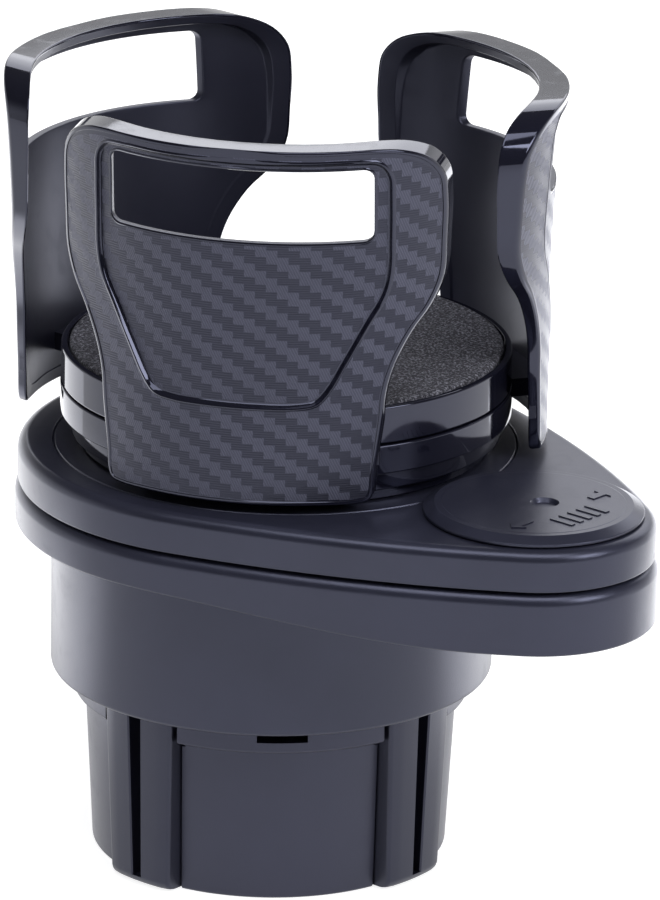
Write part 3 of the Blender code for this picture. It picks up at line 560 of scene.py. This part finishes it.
def leg_outline(z):
    """Plan outline of a leg at height z, as (out, side) pairs."""
    lip = 0.0
    if z < LEG_Z0 + 2.0:
        lip = round_off(1.4, 2.0, z - LEG_Z0)
    if z > LEG_Z1 - 0.5:
        lip = round_off(0.5, 0.5, LEG_Z1 - z)
    share = (z - LEG_Z0) / (LEG_Z1 - LEG_Z0)
    outer = LEG_R + (LEG_R_TOP - LEG_R) * share - lip
    back = 30.0 if z < DECK_Z0 - 0.55 else 33.8
    deep = outer - LEG_R + 2.6 if z > LEG_Z0 + 1.5 else 0.0
    half, groove, edge, flank = leg_half(z), 1.0 + 0.5 * share, 1.0, 0.25
    side_u = math.sqrt(outer ** 2 - half ** 2)

    def skin(v):
        return (math.sqrt(outer ** 2 - v * v), v)

    def groove_wall(v):
        u = skin(v)[0]
        if deep:
            return [(u, v), (u - 0.3, v + flank), (u - deep, v + flank)]
        return [(u, v), (u, v + 0.12), (u, v + flank)]

    right = [(back, -half), (side_u - edge, -half)]
    right += [(side_u - edge * (1 - math.sin(t)) * 0.9, -half + edge * (1 - math.cos(t)))
              for t in (0.4, 0.8, 1.2)]
    right += [skin(-half + edge + (half - edge - groove - flank) * k / 5) for k in range(1, 6)]
    right += groove_wall(-groove - flank)
    left = [(u, -v) for u, v in right[::-1]]
    return right + left


def dress_leg(index, angle, body):
    zs = [LEG_Z0, LEG_Z0 + 0.12, LEG_Z0 + 0.35, LEG_Z0 + 0.75, LEG_Z0 + 1.3, LEG_Z0 + 1.48,
          LEG_Z0 + 1.55, LEG_Z0 + 2.0, 9.0, 18.0, 26.0, DECK_Z0 - 0.6, DECK_Z0 - 0.5, 33.0,
          LEG_Z1 - 0.5, LEG_Z1 - 0.3, LEG_Z1 - 0.12, LEG_Z1]
    verts, faces = [], []
    for z in zs:
        verts += [(u, v, z) for u, v in leg_outline(z)]
    n = len(leg_outline(zs[0]))
    for k in range(len(zs) - 1):
        faces += [[k * n + i, k * n + (i + 1) % n, (k + 1) * n + (i + 1) % n, (k + 1) * n + i]
                  for i in range(n)]
    faces.append(list(range(n))[::-1])
    faces.append([(len(zs) - 1) * n + i for i in range(n)])
    leg = solid("leg", verts, faces)
    tongue_half, tongue_z0, peg_at, peg_r = 6.0, 27.0, 19.0, 2.0
    tongue = bar(16.4, 31.0, -tongue_half, tongue_half, tongue_z0, DECK_Z0 - GAP)
    join(leg, tongue, rod(peg_at, 0, peg_r, DECK_Z0 - 1.1, LEG_Z1))
    leg.data.transform(Matrix.Rotation(math.radians(angle), 4, "Z"))
    dress(leg, f"leg_pad_{index}", body, [f"leg_{index}"], [LEG])


# plates
def teardrop(big_steps=96, small_steps=44, side_steps=14):
    """Points of the plate outline with the angle each one faces."""
    span = PIVOT_X - BIG_X

    def side(t):
        slope = ((BIG_R - SMALL_R) - 4 * SIDE_BULGE * (1 - 2 * t)) / span
        r = BIG_R + (SMALL_R - BIG_R) * t + 4 * SIDE_BULGE * t * (1 - t)
        return BIG_X + span * t, r, math.acos(slope)

    a0, a1 = side(0)[2], side(1)[2]
    shares = [k / side_steps for k in range(1, side_steps)]
    pts = [(PIVOT_X, SMALL_R, -a1 + 2 * a1 * i / small_steps) for i in range(small_steps + 1)]
    pts += [side(t) for t in shares[::-1]]
    pts += [(BIG_X, BIG_R, a0 + (2 * math.pi - 2 * a0) * i / big_steps)
            for i in range(big_steps + 1)]
    pts += [(c, r, -a) for c, r, a in (side(t) for t in shares)]
    return [(c + r * math.cos(a), r * math.sin(a), a) for c, r, a in pts]


def tray(outer, inner):
    """An inverted tray: outer and inner are (inset, height) rows from rim to face."""
    line, verts, faces = teardrop(), [], []
    n = len(line)
    for inset, z in outer + inner:
        for x, y, a in line:
            verts.append((x - inset * math.cos(a), y - inset * math.sin(a),
                          z(x) if callable(z) else z))
    m = len(outer)

    def band(p, q):
        return [[p * n + i, p * n + (i + 1) % n, q * n + (i + 1) % n, q * n + i] for i in range(n)]

    for k in range(m - 1):
        faces += band(k, k + 1)
    for k in range(len(inner) - 1):
        faces += band(m + k, m + k + 1)
    faces += band(0, m)
    faces.append([(m - 1) * n + i for i in range(n)])
    faces.append([(m + len(inner) - 1) * n + i for i in range(n)])
    return solid("tray", verts, faces)


def skirt_edge(x):
    """Height of the lower plate's rim, which falls away toward the pivot."""
    t = min(1.0, max(0.0, (x - 5.5) / 67.5))
    return SKIRT_BIG + (SKIRT_SMALL - SKIRT_BIG) * t * t * (3 - 2 * t)


def quarter(inset, top, r, steps=6):
    """Rows of a rounded upper edge, from the side wall to the top face."""
    rows = []
    for k in range(steps + 1):
        a = math.pi / 2 * k / steps
        rows.append((inset + r * (1 - math.cos(a)), top - r * (1 - math.sin(a))))
    return rows


def dress_cup():
    inside, hub_hole, hub_r = LOW_TOP - 1.2, 1.8, 8.0
    cup = lathe("cup", rounded([
        (0, CUP_Z0 + 1, 0), (hub_hole, CUP_Z0 + 1, 0), (hub_hole, CUP_HUB_Z0, 0),
        (hub_r, CUP_HUB_Z0, 0.2), (hub_r, CUP_Z0, 0), (CUP_R, CUP_Z0, 0.9), (CUP_R, inside, 0),
        (0, inside, 0)]), 192)
    skin = [(inset, lambda x, lift=lift: skirt_edge(x) + lift)
            for inset, lift in ((0.55, 0.0), (0.27, 0.08), (0.08, 0.27), (0.0, 0.55))]
    top = tray(skin + quarter(0.0, LOW_TOP, 2.4),
               [(2.2, skirt_edge), (2.2, LOW_TOP - 2.4)])
    boss_r, boss_z0, bore_r = 9.5, 66.5, 6.3
    rib_in, rib_half, rib_z0 = boss_r - 1, 0.9, 66.9
    boss = rod(PIVOT_X, 0, boss_r, boss_z0, inside, 64)
    ribs = [bar(rib_in, 20.0, -rib_half, rib_half, rib_z0, inside, a, PIVOT_X)
            for a in (-75, 0, 75)]
    ribs.append(bar(CUP_R - 0.5, PIVOT_X - rib_in, -rib_half, rib_half, rib_z0, inside))
    join(top, cup, boss, *ribs)
    well = lathe("well", rounded([
        (0, WELL_FLOOR, 0), (WELL_R, WELL_FLOOR, 1.6), (WELL_R, LOW_TOP + 1, 0),
        (0, LOW_TOP + 1, 0)]), 192)
    cut(top, well, rod(PIVOT_X, 0, bore_r, 60, 80, 48))
    soften(top, 0.2)
    dress(top, "cup_and_lower_plate", "cup", ["cup_body"], [SATIN])


def dress_swing_plate():
    s, under = PLATE_STEP, UP_TOP - 2.0
    pin_r, pin_z0, seat_r, rib_in, rib_out = 6.0, 66.3, 9.0, 38.6, 40.2
    rows = [(s + 0.5, UP_BOTTOM), (s + 0.15, UP_BOTTOM + 0.15), (s, UP_BOTTOM + 0.5)]
    plate = tray(rows + quarter(s, UP_TOP, 2.2), [(s + 2.2, UP_BOTTOM), (s + 2.2, UP_TOP - 2.6)])
    pin = lathe("pin", [(0, pin_z0), (pin_r, pin_z0), (pin_r, UP_BOTTOM), (seat_r, UP_BOTTOM),
                        (seat_r, under), (0, under)], 64, PIVOT_X)
    ring = lathe("ring", [(rib_in, UP_BOTTOM + 1.3), (rib_out, UP_BOTTOM + 1.3),
                          (rib_out, under), (rib_in, under)], 96, STACK_X)
    join(plate, pin, ring)
    groove_r = BAND_R + 1.4
    groove = lathe("groove", [(groove_r - 0.5, UP_TOP + 0.3), (groove_r, UP_TOP - 0.45),
                              (groove_r + 0.5, UP_TOP + 0.3)], 160, STACK_X)
    cut(plate, rod(PIVOT_X, 0, 12.3, UP_TOP - 1.3, UP_TOP + 2, 64), groove)
    dress(plate, "swing_plate_shell", "swing", ["swing_plate"], [SATIN])


def dress_pivot_cap():
    top, plug_z0, plug_r = CAP_TOP, UP_TOP - 1.0, 12.0
    cap = lathe("cap", rounded([
        (0, plug_z0, 0), (plug_r, plug_z0, 0), (plug_r, CAP_Z0, 0), (CAP_R, CAP_Z0, 0.15),
        (CAP_R, CAP_Z0 + 0.55, 0.2), (18.6, top - 0.05, 0.35), (17.4, top - 0.05, 0.1),
        (17.2, top, 0.1), (0, top, 0)]), 128, PIVOT_X)
    dimple = lathe("dimple", [(0, top - 0.8), (2.2, top - 0.8), (3.1, top + 0.5), (0, top + 0.5)],
                   32, PIVOT_X + 1.5, 1.3)
    mark0, mark1 = top - 0.4, top + 0.22
    arrow_x, arrow_y, bar_pitch, bar_half = 6.4, 11.4, 2.5, 0.55
    arrow = [(0.0, 2.9), (2.0, 0.9), (0.8, 0.9), (0.8, -2.6), (-0.8, -2.6), (-0.8, 0.9),
             (-2.0, 0.9)]
    marks = []
    for side in (-1, 1):
        loop = [(PIVOT_X + arrow_x + u, side * (arrow_y + v)) for u, v in arrow]
        marks.append(prism("arrow", loop, mark0, mark1))
    for k in range(5):
        y = (k - 2) * bar_pitch
        marks.append(bar(8.4, 13.6, y - bar_half, y + bar_half, mark0, mark1, 0, PIVOT_X))
    join(cap, *marks)
    cut(cap, dimple)
    soften(cap, 0.1)
    dress(cap, "pivot_cap_shell", "swing", ["pivot_cap"], [SATIN])


# round stack
def turned(name, node, mat, profile):
    """A round piece of the stack, turned about the stack's own axis."""
    piece = lathe(name, rounded(profile), 160, STACK_X)
    return dress(piece, name, "swing", [node], [mat])


def dress_stack():
    spigot_r, web0 = 39.5, BASE_Z1 - 2.05
    turned("base_band", "base_ring", GLOSS, [
        (BOLT_HOLE, web0, 0), (30.0, web0, 0), (30.0, BASE_Z0, 0), (spigot_r, BASE_Z0, 0.2),
        (spigot_r, BASE_Z0 + 2.4, 0.3), (BASE_R, BASE_Z0 + 2.4, 0.35), (BASE_R, BASE_Z1, 0.3),
        (BOLT_HOLE, BASE_Z1, 0)])
    guide = lathe("guide", rounded([
        (BOLT_HOLE, GUIDE_Z0, 0), (GUIDE_R, GUIDE_Z0, 0.35), (GUIDE_R, GUIDE_Z1, 0.35),
        (BOLT_HOLE, GUIDE_Z1, 0)]), 160, STACK_X)
    angles = [angle for _, angle, _ in GRIPPERS]
    half = ARM_HALF + 0.25
    cut(guide, *[bar(11.0, GUIDE_R + 7, -half, half, ARM_Z0 - GAP, GUIDE_Z1 + 1, a, STACK_X)
                 for a in angles])
    peg_at, peg_r, peg_z0 = 32.0, 2.0, 89.0
    join(guide, *[rod(x, y, peg_r, peg_z0, GUIDE_Z1 - 0.4)
                  for x, y in ring_of(peg_at, angles, STACK_X)])
    soften(guide, 0.15)
    dress(guide, "guide_band", "swing", ["guide_ring"], [GLOSS])
    web, hollow, hollow_r = PAD_Z0 - GAP, TRAY_Z0 + 2.7, BAND_R - 4.6
    turned("tray_band", "tray_disc", GLOSS, [
        (0, web - 0.8, 0), (BOLT_HOLE, web - 0.8, 0), (BOLT_HOLE, TRAY_Z0, 0), (7.0, TRAY_Z0, 0.2),
        (7.0, hollow, 0), (hollow_r, hollow, 0), (hollow_r, TRAY_Z0, 0.2), (BAND_R, TRAY_Z0, 0.4),
        (BAND_R, TRAY_Z1, 0.45), (PAD_R + 0.4, TRAY_Z1, 0.2), (PAD_R + 0.4, web, 0), (0, web, 0)])
    pad = turned("foam_disc", "foam_pad", FOAM, [
        (0, PAD_Z0, 0), (PAD_R, PAD_Z0, 0.4), (PAD_R, PAD_Z1, 0.8), (0, PAD_Z1, 0)])


# grippers
def claw_out(w, z):
    """Radius of a claw's outer face, at a place across and up."""
    up = max(0.0, (z - CLAW_Z0) / CLAW_H)
    curl = 0.5 * min(1.0, abs(w) / CLAW_HALF) ** 3 * up
    return CLAW_IN + CLAW_WALL + CLAW_SWELL * up ** 2.4 - curl


def claw_in(w, z):
    """Radius of a claw's inner face, which leans in at the top."""
    t = max(0.0, (z - CLAW_Z1 + LIP_H) / LIP_H)
    return CLAW_IN - LIP_LEAN * t ** 1.6


def claw_back(w, z):
    """Radius of the pocket's floor, behind the sunk panel."""
    return max(CLAW_IN + 0.2, claw_out(w, z) - SUNK_DEPTH - CLAW_SKIN)


def mirrored(half):
    """Closed outline from shares of half width and height, given from bottom to top."""
    points = [(w * CLAW_HALF, CLAW_Z0 + h * CLAW_H) for w, h in half]
    return points + [(-w, z) for w, z in points[::-1]]


def smooth(points, per_segment=4):
    """Even curve through all points of a closed outline."""
    pts = [Vector(p) for p in points]
    n, out = len(pts), []
    for i in range(n):
        a, b, c, d = (pts[(i + k) % n] for k in (-1, 0, 1, 2))
        ta, tb = (b - a).length ** 0.5, (c - b).length ** 0.5
        tc = (d - c).length ** 0.5
        m1 = (c - b) + tb * ((b - a) / ta - (c - a) / (ta + tb))
        m2 = (c - b) + tb * ((d - c) / tc - (d - b) / (tb + tc))
        for k in range(per_segment):
            t = k / per_segment
            p = (2 * t ** 3 - 3 * t ** 2 + 1) * b + (t ** 3 - 2 * t ** 2 + t) * m1 \
                + (-2 * t ** 3 + 3 * t ** 2) * c + (t ** 3 - t ** 2) * m2
            out.append((p.x, p.y))
    return out


def inset(loop, depth):
    """The outline moved inward; the depth is a number or a function of height."""
    n, out = len(loop), []
    for i in range(n):
        d = depth(loop[i][1]) if callable(depth) else depth
        a, b, c = (Vector(loop[k % n]) for k in (i - 1, i, i + 1))
        e1, e2 = (b - a).normalized(), (c - b).normalized()
        n1, n2 = Vector((-e1.y, e1.x)), Vector((-e2.y, e2.x))
        m = (n1 + n2).normalized()
        p = b + m * (d / max(0.6, m.dot(n1)))
        out.append((p.x, p.y))
    return out


def inside_mask(points, loop):
    hits = []
    for px, py in points:
        hit, j = False, len(loop) - 1
        for i in range(len(loop)):
            (x0, y0), (x1, y1) = loop[j], loop[i]
            if (y0 > py) != (y1 > py) and px < (x1 - x0) * (py - y0) / (y1 - y0) + x0:
                hit = not hit
            j = i
        hits.append(hit)
    return hits


def clearance(p, loop):
    return min((p[0] - x) ** 2 + (p[1] - y) ** 2 for x, y in loop) ** 0.5


# half outlines seen from outside, as shares of the claw's half width and height
CLAW = [(0.215, 0.0), (0.43, 0.0), (0.62, 0.0), (0.672, 0.006), (0.694, 0.025), (0.705, 0.1),
        (0.732, 0.23), (0.743, 0.307), (0.781, 0.387), (0.855, 0.473), (0.934, 0.539),
        (0.986, 0.617), (0.997, 0.725), (1.0, 0.832), (0.985, 0.907), (0.918, 0.961),
        (0.814, 0.99), (0.686, 1.0), (0.453, 1.0), (0.226, 1.0)]
POCKET = [(0.18, 0.035), (0.37, 0.035), (0.575, 0.035), (0.63, 0.06), (0.64, 0.12), (0.667, 0.23),
          (0.678, 0.315), (0.72, 0.405), (0.79, 0.49), (0.862, 0.55), (0.918, 0.625), (0.93, 0.725),
          (0.932, 0.82), (0.915, 0.89), (0.86, 0.935), (0.775, 0.962), (0.66, 0.97), (0.44, 0.97),
          (0.22, 0.97)]
SUNK = [(0.15, 0.276), (0.33, 0.278), (0.42, 0.288), (0.475, 0.32), (0.56, 0.405), (0.662, 0.511),
        (0.735, 0.585), (0.76, 0.65), (0.764, 0.75), (0.764, 0.86), (0.757, 0.92), (0.71, 0.957),
        (0.6, 0.966), (0.4, 0.966), (0.2, 0.966)]


def window_outline():
    half, r, z0, z1 = WINDOW_HALF, WINDOW_FILLET, WINDOW_Z0, WINDOW_Z1
    corners = [(0, z0, 0), (12, z0, 0), (half, z0, r), (half, z1, r), (12, z1, 0), (0, z1, 0),
               (-12, z1, 0), (-half, z1, r), (-half, z0, r), (-12, z0, 0)]
    points = rounded(corners, 5)
    fine = []
    for i in range(len(points)):
        a, b = Vector(points[i]), Vector(points[(i + 1) % len(points)])
        cuts = max(1, int((b - a).length / 1.7))
        fine += [tuple(a + (b - a) * k / cuts) for k in range(cuts)]
    return fine


def rim_width(z):
    """The polished border is wider along the top of a claw."""
    share = min(1.0, max(0.0, (z - CLAW_Z1 + 9.0) / 8.5))
    return 1.0 + 0.65 * share * share


def claw_mesh():
    """Curved claw in local (out, side, up) millimetres, with each face's material number."""
    verts, faces, slots = [], [], []
    satin, gloss, twill = 0, 1, 2

    def put(pts, surface, depth=0.0):
        start = len(verts)
        for w, z in pts:
            r = surface(w, z) - depth
            verts.append((min(math.sqrt(r * r - w * w), CLAW_REACH), w, min(z, CLAW_Z1)))
        return list(range(start, len(verts)))

    def bridge(rings, slot):
        for a, b in zip(rings, rings[1:]):
            n = len(a)
            for i in range(n):
                faces.append([a[i], a[(i + 1) % n], b[(i + 1) % n], b[i]])
                slots.append(slot)

    def fill(outer, inner, extra, surface, depth, slot):
        """Triangles between two outlines, through the extra points that lie between them."""
        pts, ids, edges = [], [], []
        for loop, loop_ids in (outer, inner):
            s = len(pts)
            pts += loop
            ids += loop_ids
            edges += [(s + i, s + (i + 1) % len(loop)) for i in range(len(loop))]
        def between(points):
            pairs = zip(inside_mask(points, outer[0]), inside_mask(points, inner[0]))
            return [a and not b for a, b in pairs]

        rims = outer[0] + inner[0]
        extra = [p for p, wanted in zip(extra, between(extra))
                 if wanted and clearance(p, rims) > 1.1]
        ids += put(extra, surface, depth)
        pts += extra
        vs, _, tris, orig, _, _ = delaunay_2d_cdt([Vector(p) for p in pts], edges, [], 0, 1e-6)
        mids = [tuple(sum((vs[k] for k in tri), Vector((0, 0))) / 3) for tri in tris]
        for tri, wanted in zip(tris, between(mids)):
            if wanted:
                faces.append([ids[orig[k][0]] for k in tri])
                slots.append(slot)

    def fillet(loop, surface, r, sign, steps=4):
        """Rings round an edge, from the side wall to the face."""
        rings = []
        for k in range(steps + 1):
            a = math.pi / 2 * k / steps
            d, h = r * (1 - math.cos(a)), r * (1 - math.sin(a))
            rings.append(put(inset(loop, d) if d else loop, surface, sign * h))
        return rings

    claw, sunk, pocket = (smooth(mirrored(half)) for half in (CLAW, SUNK, POCKET))
    window = window_outline()

    # polished edge and border
    outer_edge = fillet(claw, claw_out, 0.45, 1)
    outer_edge.append(put(inset(claw, 0.7), claw_out))
    outer_edge.append(put(inset(claw, 0.82), claw_out, FACE_DEPTH))
    face_r = 0.5
    inner_edge = fillet(claw, claw_in, face_r, -1)
    bridge([inner_edge[0], outer_edge[0]], gloss)
    bridge(outer_edge, gloss)
    bridge(inner_edge, gloss)
    rim_in = inset(claw, rim_width)
    border = put(rim_in, claw_out, FACE_DEPTH)
    bridge([outer_edge[-1], border], gloss)

    # rows of (inset, depth) below the faces that they join
    step_rows = ((-0.55, FACE_DEPTH), (-0.42, 0.03), (-0.2, -0.03), (0.02, 0.05), (0.2, 0.3),
                 (0.5, 0.7), (0.65, 0.83), (0.9, SUNK_DEPTH))
    lip_rows = ((-0.6, 0.0), (-0.5, -0.1), (-0.3, -0.14), (-0.1, -0.02), (0.0, 0.2))
    back_rows = ((0.0, -0.3), (-0.1, -0.1), (-0.35, 0.0))
    step = [put(inset(sunk, d), claw_out, h) for d, h in step_rows]
    lip = [put(inset(window, d), claw_out, SUNK_DEPTH + h) for d, h in lip_rows]
    back = [put(inset(window, d), claw_back, h) for d, h in back_rows]
    bridge(step, gloss)
    bridge(lip, gloss)
    bridge([lip[-1], back[0]], satin)
    bridge(back, satin)

    # rows of (inset, share of the way down to the pocket's floor)
    brim_rows = ((-0.15, 0.0), (0.0, 0.06), (0.15, 0.9), (0.4, 1.0))
    brim = [put(inset(pocket, d), lambda w, z, t=t: claw_in(w, z) * (1 - t) + claw_back(w, z) * t)
            for d, t in brim_rows]
    bridge(brim, satin)

    pitch = 2.4
    grid = [(-38 + pitch * (i + 0.5 * (j % 2)), CLAW_Z0 + 1.3 + pitch * 0.87 * j)
            for j in range(34) for i in range(32)]
    sunk_out, sunk_in = inset(sunk, step_rows[0][0]), inset(sunk, step_rows[-1][0])
    lip_out, back_out = inset(window, lip_rows[0][0]), inset(window, back_rows[-1][0])
    brim_out, brim_in = inset(pocket, brim_rows[0][0]), inset(pocket, brim_rows[-1][0])
    fill((rim_in, border), (sunk_out, step[0]), grid, claw_out, FACE_DEPTH, twill)
    fill((sunk_in, step[-1]), (lip_out, lip[0]), grid, claw_out, SUNK_DEPTH, twill)
    fill((inset(claw, face_r), inner_edge[-1]), (brim_out, brim[0]), [], claw_in, 0.0, satin)
    fill((brim_in, brim[-1]), (back_out, back[-1]), grid, claw_back, 0.0, satin)
    return verts, faces, slots


def dress_gripper(index, angle, out, body):
    verts, faces, slots = claw_mesh()
    claw = solid("claw", verts, faces, slots)
    tip = [(math.sqrt((CLAW_IN + 1.0) ** 2 - v * v), v)
           for v in (ARM_HALF * k / 6 for k in range(-6, 7))]
    arm = prism("arm", [(ARM_IN, ARM_HALF), (ARM_IN, -ARM_HALF)] + tip, ARM_Z0, ARM_Z1)
    cut(arm, slot_prism(17.05, 34.35, 88, 96))
    lugs = []
    for side in (-1, 1):
        loop = [(math.sqrt(LUG_IN ** 2 - w * w), side * w) for w in LUG_SIDES]
        loop += [(math.sqrt(LUG_OUT ** 2 - w * w), side * w) for w in LUG_SIDES[::-1]]
        lugs.append(prism("lug", loop, LUG_Z0, LUG_Z1))
    for mat in (INNER, GLOSS, TWILL):
        claw.data.materials.append(mat)
    join(claw, arm, *lugs)
    place = claw.data.attributes.new("claw_place", "FLOAT_VECTOR", "POINT")
    place.data.foreach_set("vector", [c for v in claw.data.vertices for c in v.co])
    shift = spin([(out, 0)], angle, STACK_X)[0]
    claw.data.transform(Matrix.Translation((shift[0] * MM, shift[1] * MM, 0))
                        @ Matrix.Rotation(math.radians(angle), 4, "Z"))
    name, node = f"gripper_shell_{index}", f"gripper_{index}"
    dress(claw, name, body, [node], [])


# screws
def dress_screw(name, node, body):
    """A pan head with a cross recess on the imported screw's place."""
    lo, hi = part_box(node)
    x, y = (lo.x + hi.x) / 2 / MM, (lo.y + hi.y) / 2 / MM
    head_r = (hi.x - lo.x) / 2 / MM
    z0, z1 = lo.z / MM, hi.z / MM
    head_h = 0.32 * head_r + 0.2
    shank = 0.42 * head_r
    screw = lathe("screw", rounded([
        (0, z0, 0), (head_r, z0, 0.45 * head_h), (head_r, z0 + head_h, 0.1),
        (shank, z0 + head_h, 0), (shank, z1 - shank, 0), (0.2, z1, 0), (0, z1, 0)]), 40, x, y)
    reach, wide = head_r * 0.5, head_r * 0.12
    cut(screw, *[bar(-reach, reach, -wide, wide, z0 - 1, z0 + 0.6 * head_h, turn, x, y)
                 for turn in (20, 110)])
    dress(screw, name, body, [node], [STEEL])


def finish_hidden_nodes():
    """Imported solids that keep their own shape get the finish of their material."""
    plain = {"leg_guide_plate": FOOT, "cam_disc": INNER, "hub_washer": INNER,
             "pivot_washer": STEEL}
    for name, node in NODES.items():
        mat = plain.get(name, STEEL if "screw" in name or "bolt" in name else SATIN)
        node.data.materials.clear()
        node.data.materials.append(mat)


# studio and camera; lengths in millimetres, light boxes in metres, angles in degrees
CAMERA_AT = (819.835, -928.514, 500.302)
CAMERA_LOOK = (-0.62047366, 0.71509352, -0.32195292)
CAMERA_ROLL = 1.023
CAMERA_LENS = 272.07
AWAY = Vector((CAMERA_LOOK[0], CAMERA_LOOK[1], 0)).normalized()
ASIDE = Vector((AWAY.y, -AWAY.x, 0))
WHITE = (1, 1, 1, 1)

# name, azimuth from FRONT to its right, elevation, distance, (width, height), brightness
FRONT = 41.5
BOX_TINT = (0.95, 0.96, 1.0)
BOX_TARGET = Vector((0.01, 0, 0.08))
BOXES = (
    ("overhead_box", 0, 65, 1.0, (1.0, 0.5), 3.3),
    ("left_box", -142, -5, 0.26, (0.22, 0.11), 0.9),
    ("right_box", 142, -5, 0.28, (0.22, 0.11), 2.0),
    ("back_box", 162, 32, 1.0, (1.2, 0.4), 2.0),
    ("key_box", 55, 32, 0.9, (0.35, 0.35), 7.0),
)
FLOOR_R, FLOOR_SIDES, FLOOR_DEPTH = 3000, 64, 5


def make_camera():
    camera = bpy.data.objects.new("camera", bpy.data.cameras.new("camera"))
    bpy.context.scene.collection.objects.link(camera)
    camera.data.lens = CAMERA_LENS
    camera.data.sensor_width = 36
    camera.data.clip_start, camera.data.clip_end = 0.1, 20
    look = Vector(CAMERA_LOOK).normalized().to_track_quat("-Z", "Y").to_matrix()
    turn = look @ Matrix.Rotation(math.radians(CAMERA_ROLL), 3, "Z")
    camera.matrix_world = Matrix.Translation(Vector(CAMERA_AT) * MM) @ turn.to_4x4()
    bpy.context.scene.camera = camera


def make_light(name, azimuth, elevation, distance, size, brightness):
    """A soft box that faces the object."""
    light = bpy.data.lights.new(name, "AREA")
    light.shape = "RECTANGLE"
    light.size, light.size_y = size
    light.energy = brightness * math.pi * size[0] * size[1]
    light.color = BOX_TINT
    obj = bpy.data.objects.new(name, light)
    bpy.context.scene.collection.objects.link(obj)
    a, e = math.radians(azimuth + FRONT), math.radians(elevation)
    out = Vector((math.sin(a) * math.cos(e), -math.cos(a) * math.cos(e), math.sin(e)))
    obj.location = BOX_TARGET + out * distance
    obj.rotation_euler = out.to_track_quat("Z", "Y").to_euler()


def make_world():
    """A dark studio over a low white band that stands behind and beside the object."""
    world = bpy.data.worlds.new("studio")
    bpy.context.scene.world = world
    world.use_nodes = True
    s = Shader(world.node_tree)
    background = world.node_tree.nodes["Background"]
    direction = s.node("TexCoord").outputs["Generated"]
    height = s.node("SeparateXYZ", inputs={0: direction}).outputs[2]
    behind = s.dot(direction, AWAY)
    band = s.math("MULTIPLY", s.ramp(behind, -0.5, 0.2), s.ramp(height, 0.50, 0.14))
    lit = s.math("MULTIPLY_ADD", band, 0.85, 0.08)
    seen = s.node("LightPath").outputs["Is Camera Ray"]
    s.feed(background.inputs["Strength"], s.math("MAXIMUM", lit, seen))
    background.inputs["Color"].default_value = WHITE


def make_floor():
    """A white floor that keeps the shadow. On each side behind the object a patch glows brighter,
    for glossy rays only: a painted reflection that polished walls mirror, lighting nothing else."""
    turns = [2 * math.pi * k / FLOOR_SIDES for k in range(FLOOR_SIDES)]
    loop = [(FLOOR_R * math.cos(a), FLOOR_R * math.sin(a)) for a in turns]
    floor = prism("floor", loop, -FLOOR_DEPTH, 0)
    mat = bpy.data.materials.new("white_floor")
    mat.use_nodes = True
    mat.node_tree.nodes.clear()
    s = Shader(mat.node_tree)
    place = s.node("TexCoord").outputs["Object"]
    reach = s.node("VectorMath", operation="LENGTH", inputs={0: place}).outputs["Value"]
    behind, side = s.dot(place, AWAY), s.math("ABSOLUTE", s.dot(place, ASIDE))
    white = s.ramp(reach, 0.1, 0.5, 0.86, 1.0)
    # patch: where the floor glows for glossy rays only, a painted reflection standing in for low
    # side lamps
    patch = s.math("MULTIPLY", s.ramp(side, 0.07, 0.12), s.ramp(behind, -0.03, 0.03))
    patch = s.math("MULTIPLY", patch, s.ramp(reach, 0.30, 0.20))
    painted_reflection_glow = s.math("MULTIPLY_ADD", patch, 1.9, white)
    path = s.node("LightPath")
    glow = s.math("ADD", s.math("MULTIPLY", path.outputs["Is Camera Ray"], white),
                  s.math("MULTIPLY", path.outputs["Is Glossy Ray"], painted_reflection_glow))
    diffuse = s.node("BsdfDiffuse", inputs={"Color": (0.5, 0.5, 0.5, 1)})
    emission = s.node("Emission", inputs={"Color": WHITE, "Strength": glow})
    out = s.node("OutputMaterial")
    s.feed(out.inputs["Surface"], s.node("AddShader", inputs={0: diffuse, 1: emission}))
    floor.data.materials.append(mat)


def main():
    finish_hidden_nodes()
    dress_foot()
    dress_cover()
    for i, (angle, body) in enumerate(zip(LEG_ANGLES, LEG_BODIES)):
        dress_leg(i + 1, angle, body)
    dress_cup()
    dress_swing_plate()
    dress_pivot_cap()
    dress_stack()
    for (index, angle, out), body in zip(GRIPPERS, GRIPPER_BODIES):
        dress_gripper(index, angle, out, body)
    for k in range(4):
        dress_screw(f"cover_screw_head_{k + 1}", f"cover_screw_{k + 1}", "foot")
    dress_screw("pivot_screw_head", "pivot_screw", "swing")
    make_camera()
    make_world()
    make_floor()
    for box in BOXES:
        make_light(*box)
    bpy.context.scene.view_settings.view_transform = "Standard"


main()
